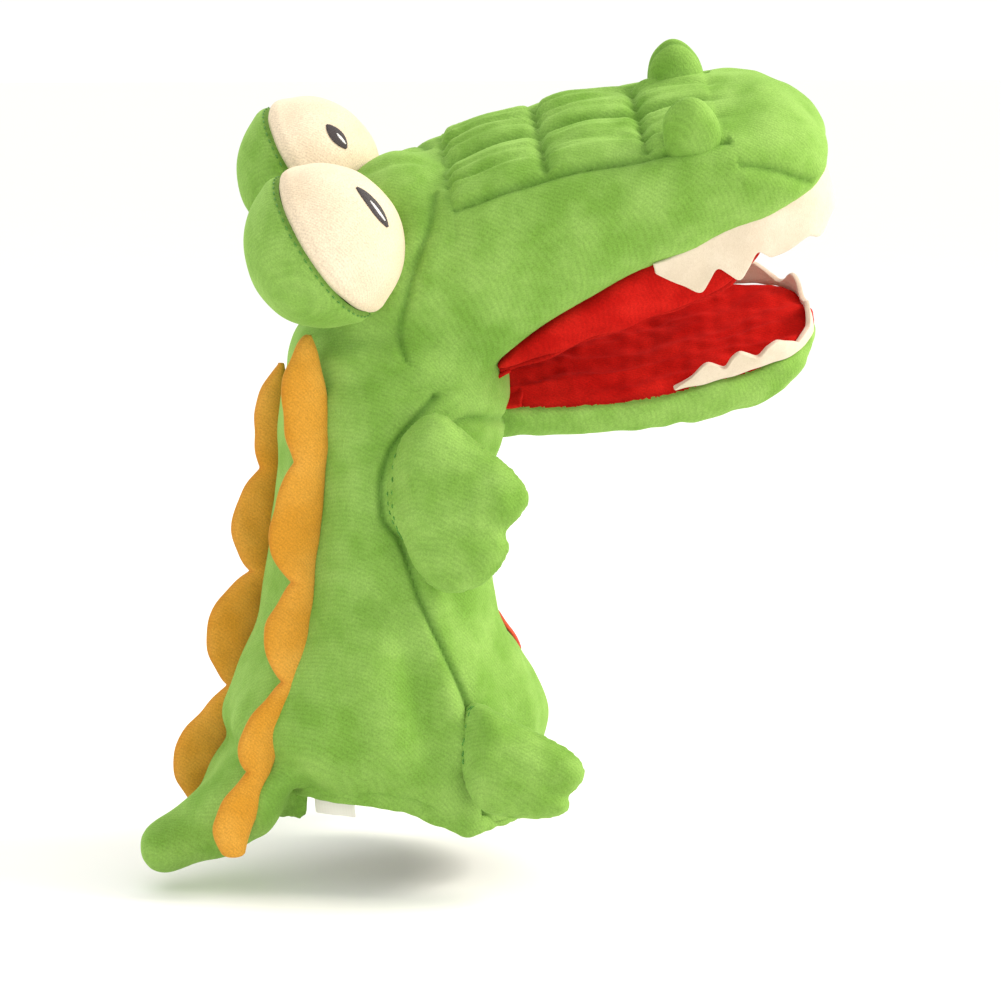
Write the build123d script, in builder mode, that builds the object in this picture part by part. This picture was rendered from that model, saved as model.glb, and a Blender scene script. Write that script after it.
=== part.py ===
from build123d import *
import math
import os

os.makedirs("parts", exist_ok=True)

# A plush crocodile hand puppet. All sizes are in millimetres.
# Body frame: origin at the centre of the arm opening, +X forward, +Y to the puppet's left, +Z up.

# Cloth and clearances
SKIN = 2.5              # plush with its backing
LINING = 1.2            # thin woven lining
FELT = 1.6              # felt of the teeth
LAYER_GAP = 0.3         # between layers that lie on each other
JOINT_GAP = 0.6         # between pieces on either side of a soft joint

# Arm opening and torso
OPENING_RADIUS = 40.0   # bore of the hem
HEM_WALL = 3.5
HEM_HEIGHT = 9.0
TORSO_HEIGHT = 125.0    # hem to the middle of the neck
TORSO_HALF_WIDTH = 42.0
BELLY_SWELL = 22.0      # how much deeper the belly is than the waist, front to back
WAIST_HALF_DEPTH = 36.0
NECK_LEAN = 25.7        # degrees the neck's cut leans forward
NECK_BAND = 23.0        # height of the neck skin along the neck's own axis
LINING_MARGIN = 0.8       # loose room between the lining and the skin

# Head, in a frame whose origin is the jaw hinge: X along the snout, Y left, Z up
HEAD_TURN = -14.0       # degrees about Z
HEAD_ROLL = 28.0        # degrees about X
HEAD_PITCH = -20.0      # degrees about Y, nose up
HINGE_FORWARD = 35.8
HINGE_ABOVE_NECK = 38.8
SNOUT_LENGTH = 127.0
SNOUT_HALF_WIDTH = 38.0
HEAD_HEIGHT = 60.0
JAW_LENGTH = 105.0
JAW_HALF_WIDTH = 31.5
JAW_REAR = 14.0         # where the jaw's own pieces start, ahead of the hinge
FACE_REAR = 4.0         # where the snout's own panels start, ahead of the hinge
TOP_PANEL_HALF_WIDTH = 24.0
BOARD = 2.0
PALATE_REACH = 0.62     # share of the snout's length over which the palate runs straight
PALATE_LEVEL = 1.5      # height of the palate's underside over that stretch
POCKET_HALF_WIDTH = 29.0
POCKET_HEIGHT = 20.0
POCKET_LENGTH = 112.0
THUMB_HALF_WIDTH = 14.0
THUMB_HEIGHT = 9.0
THUMB_LENGTH = 58.0
UPPER_TOOTH = 15.0
LOWER_TOOTH = 7.0
TOOTH_PITCH = 17.0
EYE_RADIUS = 26.5
EYE_CENTRE = (-39.0, 27.0, 67.5)
EYE_SEAM_TILT = 17.0    # degrees the seam of the eye leans back
PUPIL_LENGTH = 16.0
PUPIL_TILT = 20.0        # the slit's lean, in degrees
PUPIL_WIDTH = 5.0
PUPIL_THICK = 0.6
NOSTRIL_PLACE = (86.0, 21.0)
NOSTRIL_HEIGHT = 17.0

# Limbs, tail, ridges
LIMB_SKIN = 2.0
ARM_ROOT = (-14.0, 43.5, 119.0)
ARM_LENGTH = 44.0
ARM_SPLAY = 30.0        # degrees outward from straight ahead
LEG_ROOT = (7.0, 50.0, 25.0)
LEG_LENGTH = 44.0
LEG_SPLAY = 22.0
LEG_DROOP = 12.0
TAIL_ROOT = (-44.0, 14.0)
TAIL_LENGTH = 54.0
TAIL_DROOP = 35.0
TAIL_BREAK = 0.46       # share of the tail's length where it bends
TAIL_BREAK_ROOM = 6.0
RIDGE_HALF_SPACING = 25.0
RIDGE_THICK = 7.0
RIDGE_HEIGHT = 15.0
PATCH_RADIUS = 11.0
PATCH_HEIGHT = 58.0
LABEL_SIZE = (24.0, 0.8, 14.0)

FAR = 400.0             # longer than anything, for cutting


# ---------------------------------------------------------------- frames

def head_frame():
    """Plane of the head: its x_dir is the snout and its z_dir is up."""
    turned = Location((HINGE_FORWARD, 0, TORSO_HEIGHT + HINGE_ABOVE_NECK), (0, 0, HEAD_TURN))
    posed = turned * Location((0, 0, 0), (HEAD_ROLL, 0, 0)) * Location((0, 0, 0), (0, HEAD_PITCH, 0))
    return Plane(posed)


HEAD = head_frame()


def head_point(x, y, z):
    return HEAD.from_local_coords(Vector(x, y, z))


def across_head(x):
    """Section plane across the snout at x: sketch X is the head's left, sketch Y its up."""
    return Plane(origin=head_point(x, 0, 0), x_dir=HEAD.y_dir, z_dir=HEAD.x_dir)


def along_head(z=0.0):
    """Plane parallel to the head's XY."""
    return Plane(origin=head_point(0, 0, z), x_dir=HEAD.x_dir, z_dir=HEAD.z_dir)


def beside_head():
    """Mid plane of the head: sketch X is the snout, sketch Y its up."""
    return Plane(origin=HEAD.origin, x_dir=HEAD.x_dir, z_dir=-HEAD.y_dir)


def neck_plane(height):
    """Plane across the neck, `height` along the neck's leaning axis."""
    lean = math.radians(NECK_LEAN)
    axis = Vector(math.sin(lean), 0, math.cos(lean))
    return Plane(origin=axis * height, x_dir=(0, 1, 0), z_dir=axis)


NECK_LOW = TORSO_HEIGHT * math.cos(math.radians(NECK_LEAN)) - 2.4
NECK_HIGH = NECK_LOW + NECK_BAND


# ---------------------------------------------------------------- forms

def oval_points(half_x, half_y, count=12):
    """Points round an oval, always starting on its X side so that lofts don't twist."""
    turns = [2 * math.pi * step / count for step in range(count)]
    return [(half_x * math.cos(turn), half_y * math.sin(turn)) for turn in turns]


def lofted_ovals(sections):
    """Loft ovals given as (plane, half size along sketch X, half size along sketch Y)."""
    with BuildPart() as form:
        for plane, half_x, half_y in sections:
            with BuildSketch(plane):
                with BuildLine():
                    Spline(*oval_points(half_x, half_y), periodic=True)
                make_face()
        loft(ruled=True)
    return form.part


def torso_form(inset):
    """Whole torso and neck, every side moved in by inset."""
    waist = WAIST_HALF_DEPTH
    belly = waist + BELLY_SWELL
    foot = OPENING_RADIUS + HEM_WALL + SKIN
    rows = [
        (HEM_HEIGHT / 2, 0.0, foot, foot - 1),
        (TORSO_HEIGHT * 0.15, -3.0, belly - 3.5, TORSO_HALF_WIDTH + 5),
        (TORSO_HEIGHT * 0.25, -3.5, belly, TORSO_HALF_WIDTH + 6),
        (TORSO_HEIGHT * 0.4, -3.5, waist + BELLY_SWELL * 0.55, TORSO_HALF_WIDTH + 4.5),
        (TORSO_HEIGHT * 0.58, -5.5, waist + 2.5, TORSO_HALF_WIDTH + 2),
        (TORSO_HEIGHT * 0.78, -5.0, waist, TORSO_HALF_WIDTH),
        (TORSO_HEIGHT * 0.9, -3.5, waist, TORSO_HALF_WIDTH - 1),
        (TORSO_HEIGHT, -2.0, waist + 1, TORSO_HALF_WIDTH - 1),
        (TORSO_HEIGHT + 12, -0.5, waist + 2, TORSO_HALF_WIDTH - 1),
        (TORSO_HEIGHT + 24, 1.0, waist + 3, TORSO_HALF_WIDTH),
        (TORSO_HEIGHT + 36, 2.0, waist + 3.5, TORSO_HALF_WIDTH),
        (TORSO_HEIGHT + 48, 2.0, waist + 3.5, TORSO_HALF_WIDTH),
    ]
    return lofted_ovals([(Plane((x, 0, z)), deep - inset, wide - inset) for z, x, deep, wide in rows])


def lining_form(inset):
    """The sleeve that the arm goes up, narrower than the belly."""
    margin = SKIN + LINING_MARGIN + inset
    waist = WAIST_HALF_DEPTH - margin
    width = TORSO_HALF_WIDTH - margin
    foot = OPENING_RADIUS + HEM_WALL / 2 - inset
    rows = [
        (HEM_HEIGHT / 2, 0.0, foot, foot),
        (TORSO_HEIGHT * 0.25, -2.0, foot, foot),
        (TORSO_HEIGHT * 0.5, -4.5, waist + 1.5, width + 1),
        (TORSO_HEIGHT * 0.78, -5.0, waist, width),
        (TORSO_HEIGHT * 0.9, -3.5, waist, width - 1),
        (TORSO_HEIGHT, -2.0, waist + 1, width - 1),
        (TORSO_HEIGHT + 12, -0.5, waist + 2, width - 1),
        (TORSO_HEIGHT + 24, 1.0, waist + 3, width),
        (TORSO_HEIGHT + 36, 2.0, waist + 3.5, width),
        (TORSO_HEIGHT + 48, 2.0, waist + 3.5, width),
    ]
    return lofted_ovals([(Plane((x, 0, z)), deep, wide) for z, x, deep, wide in rows])


def round_box_section(plane, half_width, low, high, low_radius, high_radius):
    """Rounded rectangle between two heights, for one section of the head or the jaw."""
    with BuildSketch(plane) as section:
        with Locations((0, (low + high) / 2)):
            Rectangle(2 * half_width, high - low)
        fillet(section.vertices().group_by(Axis.Y)[-1], high_radius)
        fillet(section.vertices().group_by(Axis.Y)[0], low_radius)
    return section.sketch


# Sections of the head: share of the snout's length, half width as a share of the snout's,
# lip height, top height less the head's height, and the radius of the top edges.
HEAD_ROWS = [
    (-0.36, 0.52, -2.0, -12.0, 15.0),
    (-0.28, 0.84, -12.0, 0.0, 18.0),
    (-0.16, 0.97, -12.0, 8.0, 20.0),
    (-0.02, 1.0, 2.0, 9.0, 18.0),
    (0.08, 1.0, 9.5, 9.5, 16.0),
    (0.2, 0.99, 15.5, 10.5, 15.0),
    (0.37, 0.97, 22.0, 9.5, 15.0),
    (0.57, 0.95, 26.5, 5.0, 15.0),
    (0.74, 0.89, 29.5, 2.5, 15.5),
    (0.88, 0.78, 29.0, -3.5, 13.0),
    (0.95, 0.6, 30.0, -9.0, 9.0),
    (1.0, 0.31, 33.0, -15.5, 5.0),
]
LIP_RADIUS = 2.6

# Sections of the jaw: share of its length, half width as a share, underside and lip heights.
JAW_ROWS = [
    (-0.03, 0.98, -31.0, -8.0),
    (0.13, 1.0, -36.0, -15.0),
    (0.29, 1.0, -40.0, -20.0),
    (0.48, 1.0, -44.0, -24.0),
    (0.71, 0.95, -48.0, -26.5),
    (0.86, 0.82, -48.0, -28.5),
    (0.95, 0.57, -46.0, -30.5),
    (1.0, 0.28, -42.0, -32.5),
]
UNDERSIDE_RADIUS = 8.0


def head_form(inset, drop=0.0):
    """The head and upper jaw, sides and top moved in by inset, the underside down by drop."""
    last = len(HEAD_ROWS) - 1
    sections = []
    for index, (share, width, lip, top, radius) in enumerate(HEAD_ROWS):
        end = inset if index in (0, last) else 0
        x = share * SNOUT_LENGTH + (end if index == 0 else -end)
        half_width = width * SNOUT_HALF_WIDTH - inset
        high = HEAD_HEIGHT + top - inset
        low = lip - drop if drop else lip + inset
        radii = max(LIP_RADIUS - inset, 0.6), max(radius - inset, 1.5)
        sections.append(round_box_section(across_head(x), half_width, low, high, *radii))
    with BuildPart() as form:
        loft(sections, ruled=True)
    return form.part


def jaw_form(inset, rise=0.0):
    """The lower jaw, sides and underside moved in by inset, the lip up by rise."""
    sections = []
    for index, (share, width, low, lip) in enumerate(JAW_ROWS):
        x = share * JAW_LENGTH - (inset if index == len(JAW_ROWS) - 1 else 0)
        half_width = width * JAW_HALF_WIDTH - inset
        high = lip + rise if rise else lip - inset
        low_radius = max(min(UNDERSIDE_RADIUS, (lip - low) / 2 - 1) - inset, 0.8)
        radii = low_radius, max(LIP_RADIUS - inset, 0.6)
        sections.append(round_box_section(across_head(x), half_width, low + inset, high, *radii))
    with BuildPart() as form:
        loft(sections, ruled=True)
    return form.part


def side_prism(points, half_width):
    """Solid between two sides, of an outline in the head's mid plane."""
    with BuildPart() as prism:
        with BuildSketch(beside_head()):
            with BuildLine():
                Polyline(*points, close=True)
            make_face()
        extrude(amount=half_width, both=True)
    return prism.part


def plan_prism(rows, length, full_width, inset, low, high, start):
    """Solid over the planform of a jaw, its rim moved in by inset, ahead of start."""
    stations = [(row[0] * length, row[1] * full_width) for row in rows]
    ahead = [station for station in stations if station[0] > start]
    (x0, half0), (x1, half1) = stations[len(stations) - len(ahead) - 1], ahead[0]
    start_half = half0 + (half1 - half0) * (start - x0) / (x1 - x0)
    port = [(start, start_half)] + ahead
    starboard = [(x, -y) for x, y in reversed(port)]
    with BuildPart() as prism:
        with BuildSketch(along_head(low)):
            with BuildLine():
                Polyline(*port, *starboard, close=True)
            make_face()
            offset(amount=-inset, kind=Kind.INTERSECTION, mode=Mode.REPLACE)
        extrude(amount=high - low)
    return prism.part


def lip_line(rows, lip_index, length, lift, start, end):
    """Points along a lip, lifted, from start to end ahead of the hinge."""
    stations = [(row[0] * length, row[lip_index]) for row in rows]
    points = []
    for (x0, z0), (x1, z1) in zip(stations, stations[1:]):
        for edge in (start, end):
            if x0 < edge <= x1:
                points.append((edge, z0 + (z1 - z0) * (edge - x0) / (x1 - x0) + lift))
        if start < x1 < end:
            points.append((x1, z1 + lift))
    return sorted(points)


def ahead_of(x):
    """Everything ahead of x on the head."""
    with BuildPart() as block:
        with BuildSketch(across_head(x)):
            Rectangle(FAR, FAR)
        extrude(amount=FAR)
    return block.part


def above_neck(height):
    """Everything above a cut across the neck."""
    with BuildPart() as block:
        with BuildSketch(neck_plane(height)):
            Rectangle(FAR, FAR)
        extrude(amount=FAR)
    return block.part


def torso_side_seam():
    """Outline of the back half of the torso, in the body's XZ plane."""
    top = TORSO_HEIGHT * 1.2
    return [
        (20.0, -FAR / 8),
        (20.0, 0.0),
        (9.0, TORSO_HEIGHT * 0.35),
        (-8.0, TORSO_HEIGHT * 0.7),
        (-16.0, TORSO_HEIGHT * 0.9),
        (-4.0, top),
        (-FAR / 2, top),
        (-FAR / 2, -FAR / 8),
    ]


def save(built, name):
    built.part.label = name
    export_step(built.part, f"parts/{name}.step")


# ---------------------------------------------------------------- torso

torso_outer = torso_form(0)
torso_inner = torso_form(SKIN)
lining_outer = lining_form(0)
lining_inner = lining_form(LINING)
over_neck_low = above_neck(NECK_LOW)
over_neck_ring = above_neck(NECK_LOW + JOINT_GAP)
over_neck_ring_end = above_neck(NECK_HIGH - JOINT_GAP)
over_neck_high = above_neck(NECK_HIGH)

with BuildPart() as back_half:
    with BuildSketch(Plane.XZ):
        with BuildLine():
            Polyline(*torso_side_seam(), close=True)
        make_face()
    extrude(amount=FAR / 2, both=True)

with BuildPart() as back_panel:
    add(torso_outer)
    add(torso_inner, mode=Mode.SUBTRACT)
    add(over_neck_low, mode=Mode.SUBTRACT)
    add(back_half.part, mode=Mode.INTERSECT)
save(back_panel, "back_panel")

with BuildPart() as belly_panel:
    add(torso_outer)
    add(torso_inner, mode=Mode.SUBTRACT)
    add(over_neck_low, mode=Mode.SUBTRACT)
    add(back_half.part, mode=Mode.SUBTRACT)
save(belly_panel, "belly_panel")

with BuildPart() as belly_patch:
    add(torso_form(-PUPIL_THICK))
    add(torso_outer, mode=Mode.SUBTRACT)
    with BuildSketch(Plane(origin=(0, 0, PATCH_HEIGHT), x_dir=(0, 1, 0), z_dir=(1, 0, 0))):
        Ellipse(PATCH_RADIUS, PATCH_RADIUS * 1.15)
    extrude(amount=FAR / 4, mode=Mode.INTERSECT)
save(belly_patch, "belly_patch")

with BuildPart() as arm_opening_hem:
    with BuildSketch(Plane.XY.offset(-HEM_HEIGHT / 2)):
        Circle(OPENING_RADIUS + HEM_WALL)
        Circle(OPENING_RADIUS, mode=Mode.SUBTRACT)
    extrude(amount=HEM_HEIGHT)
save(arm_opening_hem, "arm_opening_hem")

with BuildPart() as torso_lining:
    add(lining_outer)
    add(lining_inner, mode=Mode.SUBTRACT)
    add(over_neck_low, mode=Mode.SUBTRACT)
save(torso_lining, "torso_lining")

PADDING_TOP = TORSO_HEIGHT * 0.48
with BuildPart() as lower_body_padding:
    with BuildSketch(Plane.XY.offset(HEM_HEIGHT / 2 + LAYER_GAP)):
        Rectangle(FAR, FAR)
    extrude(amount=PADDING_TOP - HEM_HEIGHT / 2)
    add(torso_form(SKIN + LAYER_GAP), mode=Mode.INTERSECT)
    add(lining_form(-LAYER_GAP), mode=Mode.SUBTRACT)
save(lower_body_padding, "lower_body_padding")

LABEL_TURN = 42.0       # degrees round the hem from its right side towards the tail
with BuildPart() as care_label:
    under_hem = OPENING_RADIUS + LABEL_SIZE[1] / 2 + LAYER_GAP
    turn = math.radians(LABEL_TURN)
    label_height = -(HEM_HEIGHT + LABEL_SIZE[2]) / 2
    label_place = (-under_hem * math.sin(turn), -under_hem * math.cos(turn), label_height)
    with Locations(Location(label_place, (0, 0, -LABEL_TURN))):
        Box(*LABEL_SIZE)
save(care_label, "care_label")


# ---------------------------------------------------------------- tail

tail_droop = math.radians(TAIL_DROOP)
TAIL_WAY = Vector(-math.cos(tail_droop), 0, -math.sin(tail_droop))


def across_tail(distance):
    """Section plane of the tail: sketch X is the body's left."""
    start = Vector(TAIL_ROOT[0], 0, TAIL_ROOT[1])
    return Plane(origin=start + TAIL_WAY * distance, x_dir=(0, 1, 0), z_dir=TAIL_WAY)


TAIL_ROWS = [
    (0.0, 30.0, 15.0),
    (0.2, 28.0, 15.0),
    (0.36, 23.0, 14.0),
    (0.5, 16.0, 12.0),
    (0.7, 11.5, 10.5),
    (0.9, 9.5, 9.0),
    (1.0, 6.0, 6.0),
]


def tail_form(inset):
    """The whole tail, from inside the torso to its tip."""
    rows = [(share * TAIL_LENGTH, wide - inset, deep - inset) for share, wide, deep in TAIL_ROWS]
    rows[-1] = (TAIL_LENGTH - inset, rows[-1][1], rows[-1][2])
    return lofted_ovals([(across_tail(far), wide, deep) for far, wide, deep in rows])


def past_tail(distance):
    """Everything further out along the tail than distance."""
    with BuildPart() as block:
        with BuildSketch(across_tail(distance)):
            Rectangle(FAR, FAR)
        extrude(amount=FAR)
    return block.part


TAIL_BEND = TAIL_BREAK * TAIL_LENGTH

with BuildPart() as tail_root:
    add(tail_form(0))
    add(past_tail(TAIL_BEND + TAIL_BREAK_ROOM / 2 - JOINT_GAP), mode=Mode.SUBTRACT)
    add(torso_outer, mode=Mode.SUBTRACT)
    with BuildSketch(Plane.XY.offset(-FAR / 2)):
        Circle(OPENING_RADIUS + HEM_WALL + LAYER_GAP)
    extrude(amount=FAR, mode=Mode.SUBTRACT)
save(tail_root, "tail_root")

with BuildPart() as tail:
    add(tail_form(0))
    add(tail_form(LIMB_SKIN), mode=Mode.SUBTRACT)
    add(past_tail(TAIL_BEND + TAIL_BREAK_ROOM / 2), mode=Mode.INTERSECT)
save(tail, "tail")

with BuildPart() as tail_filling:
    add(tail_form(LIMB_SKIN + LAYER_GAP))
    add(past_tail(TAIL_BEND + TAIL_BREAK_ROOM / 2), mode=Mode.INTERSECT)
save(tail_filling, "tail_filling")


# ---------------------------------------------------------------- ridges

LOBE_ENDS = [0.0, 0.24, 0.47, 0.67, 0.85, 1.0]      # shares of the ridge's length
LOBE_TROUGH = 0.45


def ridge(side):
    """One wavy fin down the back, its inner edge sewn to the back panel."""
    foot = (TAIL_ROOT[0] - 19.0, -5.0)
    crest = (-37.0, TORSO_HEIGHT * 1.31)
    spine = [
        (-35.0, crest[1]),
        (-32.0, TORSO_HEIGHT * 0.95),
        (-37.0, TORSO_HEIGHT * 0.6),
        (-45.0, TORSO_HEIGHT * 0.33),
        (-56.0, TORSO_HEIGHT * 0.12),
        foot,
    ]
    with BuildLine() as guide:
        Spline(*spine)
    outline = [crest]
    for begin, end in zip(LOBE_ENDS, LOBE_ENDS[1:]):
        for share, out in (((begin + end) / 2, RIDGE_HEIGHT), (end, RIDGE_HEIGHT * LOBE_TROUGH)):
            if share == 1.0:
                continue
            at = guide.edge() @ share
            along = guide.edge() % share
            outline.append((at.X + along.Y * out, at.Y - along.X * out))
    outline.append((foot[0] - 1.0, foot[1] - 2.0))
    with BuildPart() as fin:
        with BuildSketch(Plane(origin=(0, side * RIDGE_HALF_SPACING, 0), x_dir=(1, 0, 0), z_dir=(0, -1, 0))):
            with BuildLine():
                Spline(*outline)
                Polyline(
                    outline[-1],
                    (foot[0] + 12.0, foot[1] + 12.0),
                    (-28.0, TORSO_HEIGHT * 0.3),
                    (-28.0, TORSO_HEIGHT),
                    (crest[0] + 4.0, crest[1] - 6.0),
                    crest,
                )
            make_face()
        extrude(amount=RIDGE_THICK / 2, both=True)
        add(torso_form(-LAYER_GAP), mode=Mode.SUBTRACT)
        add(tail_form(-LAYER_GAP), mode=Mode.SUBTRACT)
    return fin


for side, side_name in ((1, "left"), (-1, "right")):
    save(ridge(side), f"dorsal_ridge_{side_name}")


# ---------------------------------------------------------------- arms and legs

# Sections of a limb: share of its length, rise of its middle, half height, half thickness.
ARM_ROWS = [
    (0.02, 0.0, 23.0, 1.5),
    (0.2, 0.0, 26.0, 5.5),
    (0.45, -3.0, 28.0, 9.0),
    (0.7, -8.0, 23.0, 9.0),
    (0.9, -10.0, 16.0, 7.0),
    (1.0, -10.0, 10.0, 4.0),
]
LEG_ROWS = [
    (0.02, 0.0, 18.0, 1.5),
    (0.2, 0.0, 19.0, 6.0),
    (0.5, 0.0, 17.0, 10.0),
    (0.8, -1.0, 14.0, 10.0),
    (0.95, -1.5, 10.0, 7.0),
    (1.0, -2.0, 6.0, 4.0),
]


def limb_form(root, length, splay, droop, rows, inset):
    """One left limb: ovals across a line that leaves the side seam forward and outward."""
    turn, dip = math.radians(splay), math.radians(droop)
    way = Vector(math.cos(turn) * math.cos(dip), math.sin(turn) * math.cos(dip), -math.sin(dip))
    out = Vector(-math.sin(turn), math.cos(turn), 0)
    up = way.cross(out)
    sections = []
    for index, (share, rise, tall, thick) in enumerate(rows):
        if inset and index == 0:
            continue
        far = share * length - (inset if share == 1.0 else 0)
        centre = Vector(*root) + way * far + up * rise
        sections.append((Plane(origin=centre, x_dir=out, z_dir=way), thick - inset, tall - inset))
    return lofted_ovals(sections)


LIMBS = {
    "arm": (ARM_ROOT, ARM_LENGTH, ARM_SPLAY, 0.0, ARM_ROWS),
    "leg": (LEG_ROOT, LEG_LENGTH, LEG_SPLAY, LEG_DROOP, LEG_ROWS),
}

for limb_name, (root, length, splay, droop, rows) in LIMBS.items():
    skin_form = limb_form(root, length, splay, droop, rows, 0)
    filling_form = limb_form(root, length, splay, droop, rows, LIMB_SKIN)
    for mirrored, side_name in ((False, "left"), (True, "right")):
        with BuildPart() as limb:
            add(skin_form)
            add(filling_form, mode=Mode.SUBTRACT)
            if mirrored:
                mirror(about=Plane.XZ, mode=Mode.REPLACE)
        save(limb, f"{limb_name}_{side_name}")
        with BuildPart() as filling:
            add(filling_form)
            if mirrored:
                mirror(about=Plane.XZ, mode=Mode.REPLACE)
        save(filling, f"{limb_name}_filling_{side_name}")


# ---------------------------------------------------------------- neck

with BuildPart() as neck_skin:
    add(torso_outer)
    add(torso_inner, mode=Mode.SUBTRACT)
    add(over_neck_ring, mode=Mode.INTERSECT)
    add(over_neck_ring_end, mode=Mode.SUBTRACT)
save(neck_skin, "neck_skin")

with BuildPart() as wrist_lining:
    add(lining_outer)
    add(lining_inner, mode=Mode.SUBTRACT)
    add(over_neck_ring, mode=Mode.INTERSECT)
    add(over_neck_ring_end, mode=Mode.SUBTRACT)
save(wrist_lining, "wrist_lining")


# ---------------------------------------------------------------- head

COLLAR_FRONT = -3.0
ahead_of_collar = ahead_of(COLLAR_FRONT)
ahead_of_face = ahead_of(FACE_REAR)

with BuildPart() as collar_outer:
    add(torso_outer)
    add(over_neck_high, mode=Mode.INTERSECT)
    add(ahead_of_collar, mode=Mode.SUBTRACT)

with BuildPart() as collar_inner:
    add(torso_inner)
    add(above_neck(NECK_HIGH - 1.0), mode=Mode.INTERSECT)

snout_outer = head_form(0)
snout_inner = head_form(SKIN, drop=SKIN + LAYER_GAP)

with BuildPart() as head_shell:
    add(snout_outer)
    add(collar_outer.part)
    add(snout_inner, mode=Mode.SUBTRACT)
    add(collar_inner.part, mode=Mode.SUBTRACT)
    add(over_neck_high, mode=Mode.INTERSECT)

with BuildPart() as head_solid:
    add(snout_outer)
    add(collar_outer.part)

with BuildPart() as head_back_panel:
    add(head_shell.part)
    add(ahead_of_face, mode=Mode.SUBTRACT)
save(head_back_panel, "head_back_panel")

with BuildPart() as top_slab:
    with BuildSketch(beside_head()):
        Rectangle(2 * FAR, 2 * FAR)
    extrude(amount=TOP_PANEL_HALF_WIDTH, both=True)

with BuildPart() as snout_top_panel:
    add(head_shell.part)
    add(ahead_of_face, mode=Mode.INTERSECT)
    add(top_slab.part, mode=Mode.INTERSECT)
save(snout_top_panel, "snout_top_panel")

for side, side_name in ((1, "left"), (-1, "right")):
    with BuildPart() as head_side_panel:
        add(head_shell.part)
        add(ahead_of_face, mode=Mode.INTERSECT)
        edge_start = head_point(0, side * TOP_PANEL_HALF_WIDTH, 0)
        edge = Plane(origin=edge_start, x_dir=HEAD.x_dir, z_dir=HEAD.y_dir * side)
        with BuildSketch(edge):
            Rectangle(2 * FAR, 2 * FAR)
        extrude(amount=FAR, mode=Mode.INTERSECT)
    save(head_side_panel, f"head_side_panel_{side_name}")

LIP_SEAM = SKIN + LAYER_GAP        # where the skin's lip meets the teeth and linings
TOOTH_OUT = LIP_SEAM + 0.2
TOOTH_IN = TOOTH_OUT + FELT
LINING_RIM = TOOTH_IN + 0.2


def upper_lip(lift, start, end):
    return lip_line(HEAD_ROWS, 2, SNOUT_LENGTH, lift, start, end)


def lower_lip(lift, start, end):
    return lip_line(JAW_ROWS, 3, JAW_LENGTH, lift, start, end)


def band(lip, low, high, start, end, half_width):
    """Solid between two heights above a lip."""
    return side_prism(lip(low, start, end) + lip(high, start, end)[::-1], half_width)


PALATE_TOP = SKIN
BOARD_LOW = PALATE_TOP + LAYER_GAP
BOARD_HIGH = BOARD_LOW + BOARD

with BuildPart() as upper_mouth_board:
    add(band(upper_lip, BOARD_LOW, BOARD_HIGH, FACE_REAR + 2, SNOUT_LENGTH * 0.9, FAR / 4))
    add(plan_prism(HEAD_ROWS, SNOUT_LENGTH, SNOUT_HALF_WIDTH, LINING_RIM, -FAR / 4, FAR / 4, FACE_REAR + 2),
        mode=Mode.INTERSECT)
save(upper_mouth_board, "upper_mouth_board")

palate_line = [
    (0.05 * SNOUT_LENGTH, PALATE_LEVEL + 2.0),
    (0.12 * SNOUT_LENGTH, PALATE_LEVEL),
    (PALATE_REACH * SNOUT_LENGTH, PALATE_LEVEL),
    (0.72 * SNOUT_LENGTH, PALATE_LEVEL + 5.0),
    (0.79 * SNOUT_LENGTH, PALATE_LEVEL + 14.0),
    (0.86 * SNOUT_LENGTH, PALATE_LEVEL + 25.0),
    (0.93 * SNOUT_LENGTH, PALATE_LEVEL + 28.0),
]
with BuildPart() as palate_lining:
    add(side_prism(palate_line + upper_lip(PALATE_TOP, palate_line[0][0], palate_line[-1][0])[::-1], FAR / 4))
    add(plan_prism(HEAD_ROWS, SNOUT_LENGTH, SNOUT_HALF_WIDTH, LINING_RIM, -FAR / 4, FAR / 4, FACE_REAR + 1),
        mode=Mode.INTERSECT)
save(palate_lining, "palate_lining")


def pocket_form(inset, rows, rear):
    """A flat pocket along the head: sections as (x, half width, low, high)."""
    last = len(rows) - 1
    sections = []
    for index, (x, half_width, low, high) in enumerate(rows):
        at = x - inset if index == last else (x - rear if index == 0 else x)
        radius = (high - low) / 2 - inset - 0.4
        size = half_width - inset, low + inset, high - inset
        sections.append(round_box_section(across_head(at), *size, radius, radius))
    with BuildPart() as form:
        loft(sections, ruled=True)
    return form.part


FINGER_WALL = POCKET_HEIGHT + 2 * LINING
FINGERTIP_ROOM = 0.3    # how much the pocket narrows towards the fingertips
finger_rows = []
for x in (-8.0, *(row[0] * SNOUT_LENGTH for row in HEAD_ROWS if 0 < row[0] * SNOUT_LENGTH < POCKET_LENGTH - 2)):
    taper = 1 - FINGERTIP_ROOM * max(0.0, 2 * x / POCKET_LENGTH - 1)
    floor = upper_lip(BOARD_HIGH + LAYER_GAP, max(x, 0.0), SNOUT_LENGTH)[0][1]
    finger_rows.append((x, POCKET_HALF_WIDTH * taper + LINING, floor, floor + FINGER_WALL * taper))

with BuildPart() as finger_pocket_lining:
    add(pocket_form(0, finger_rows, 0))
    add(pocket_form(LINING, finger_rows, LINING), mode=Mode.SUBTRACT)
save(finger_pocket_lining, "finger_pocket_lining")

with BuildPart() as snout_stuffing:
    add(head_form(SKIN + LAYER_GAP))
    add(ahead_of(FACE_REAR + 1), mode=Mode.INTERSECT)
    add(band(upper_lip, BOARD_HIGH + LAYER_GAP, FAR / 4, FACE_REAR, SNOUT_LENGTH, FAR / 4), mode=Mode.INTERSECT)
    add(pocket_form(-LAYER_GAP, finger_rows, 0), mode=Mode.SUBTRACT)
save(snout_stuffing, "snout_stuffing")


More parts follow.
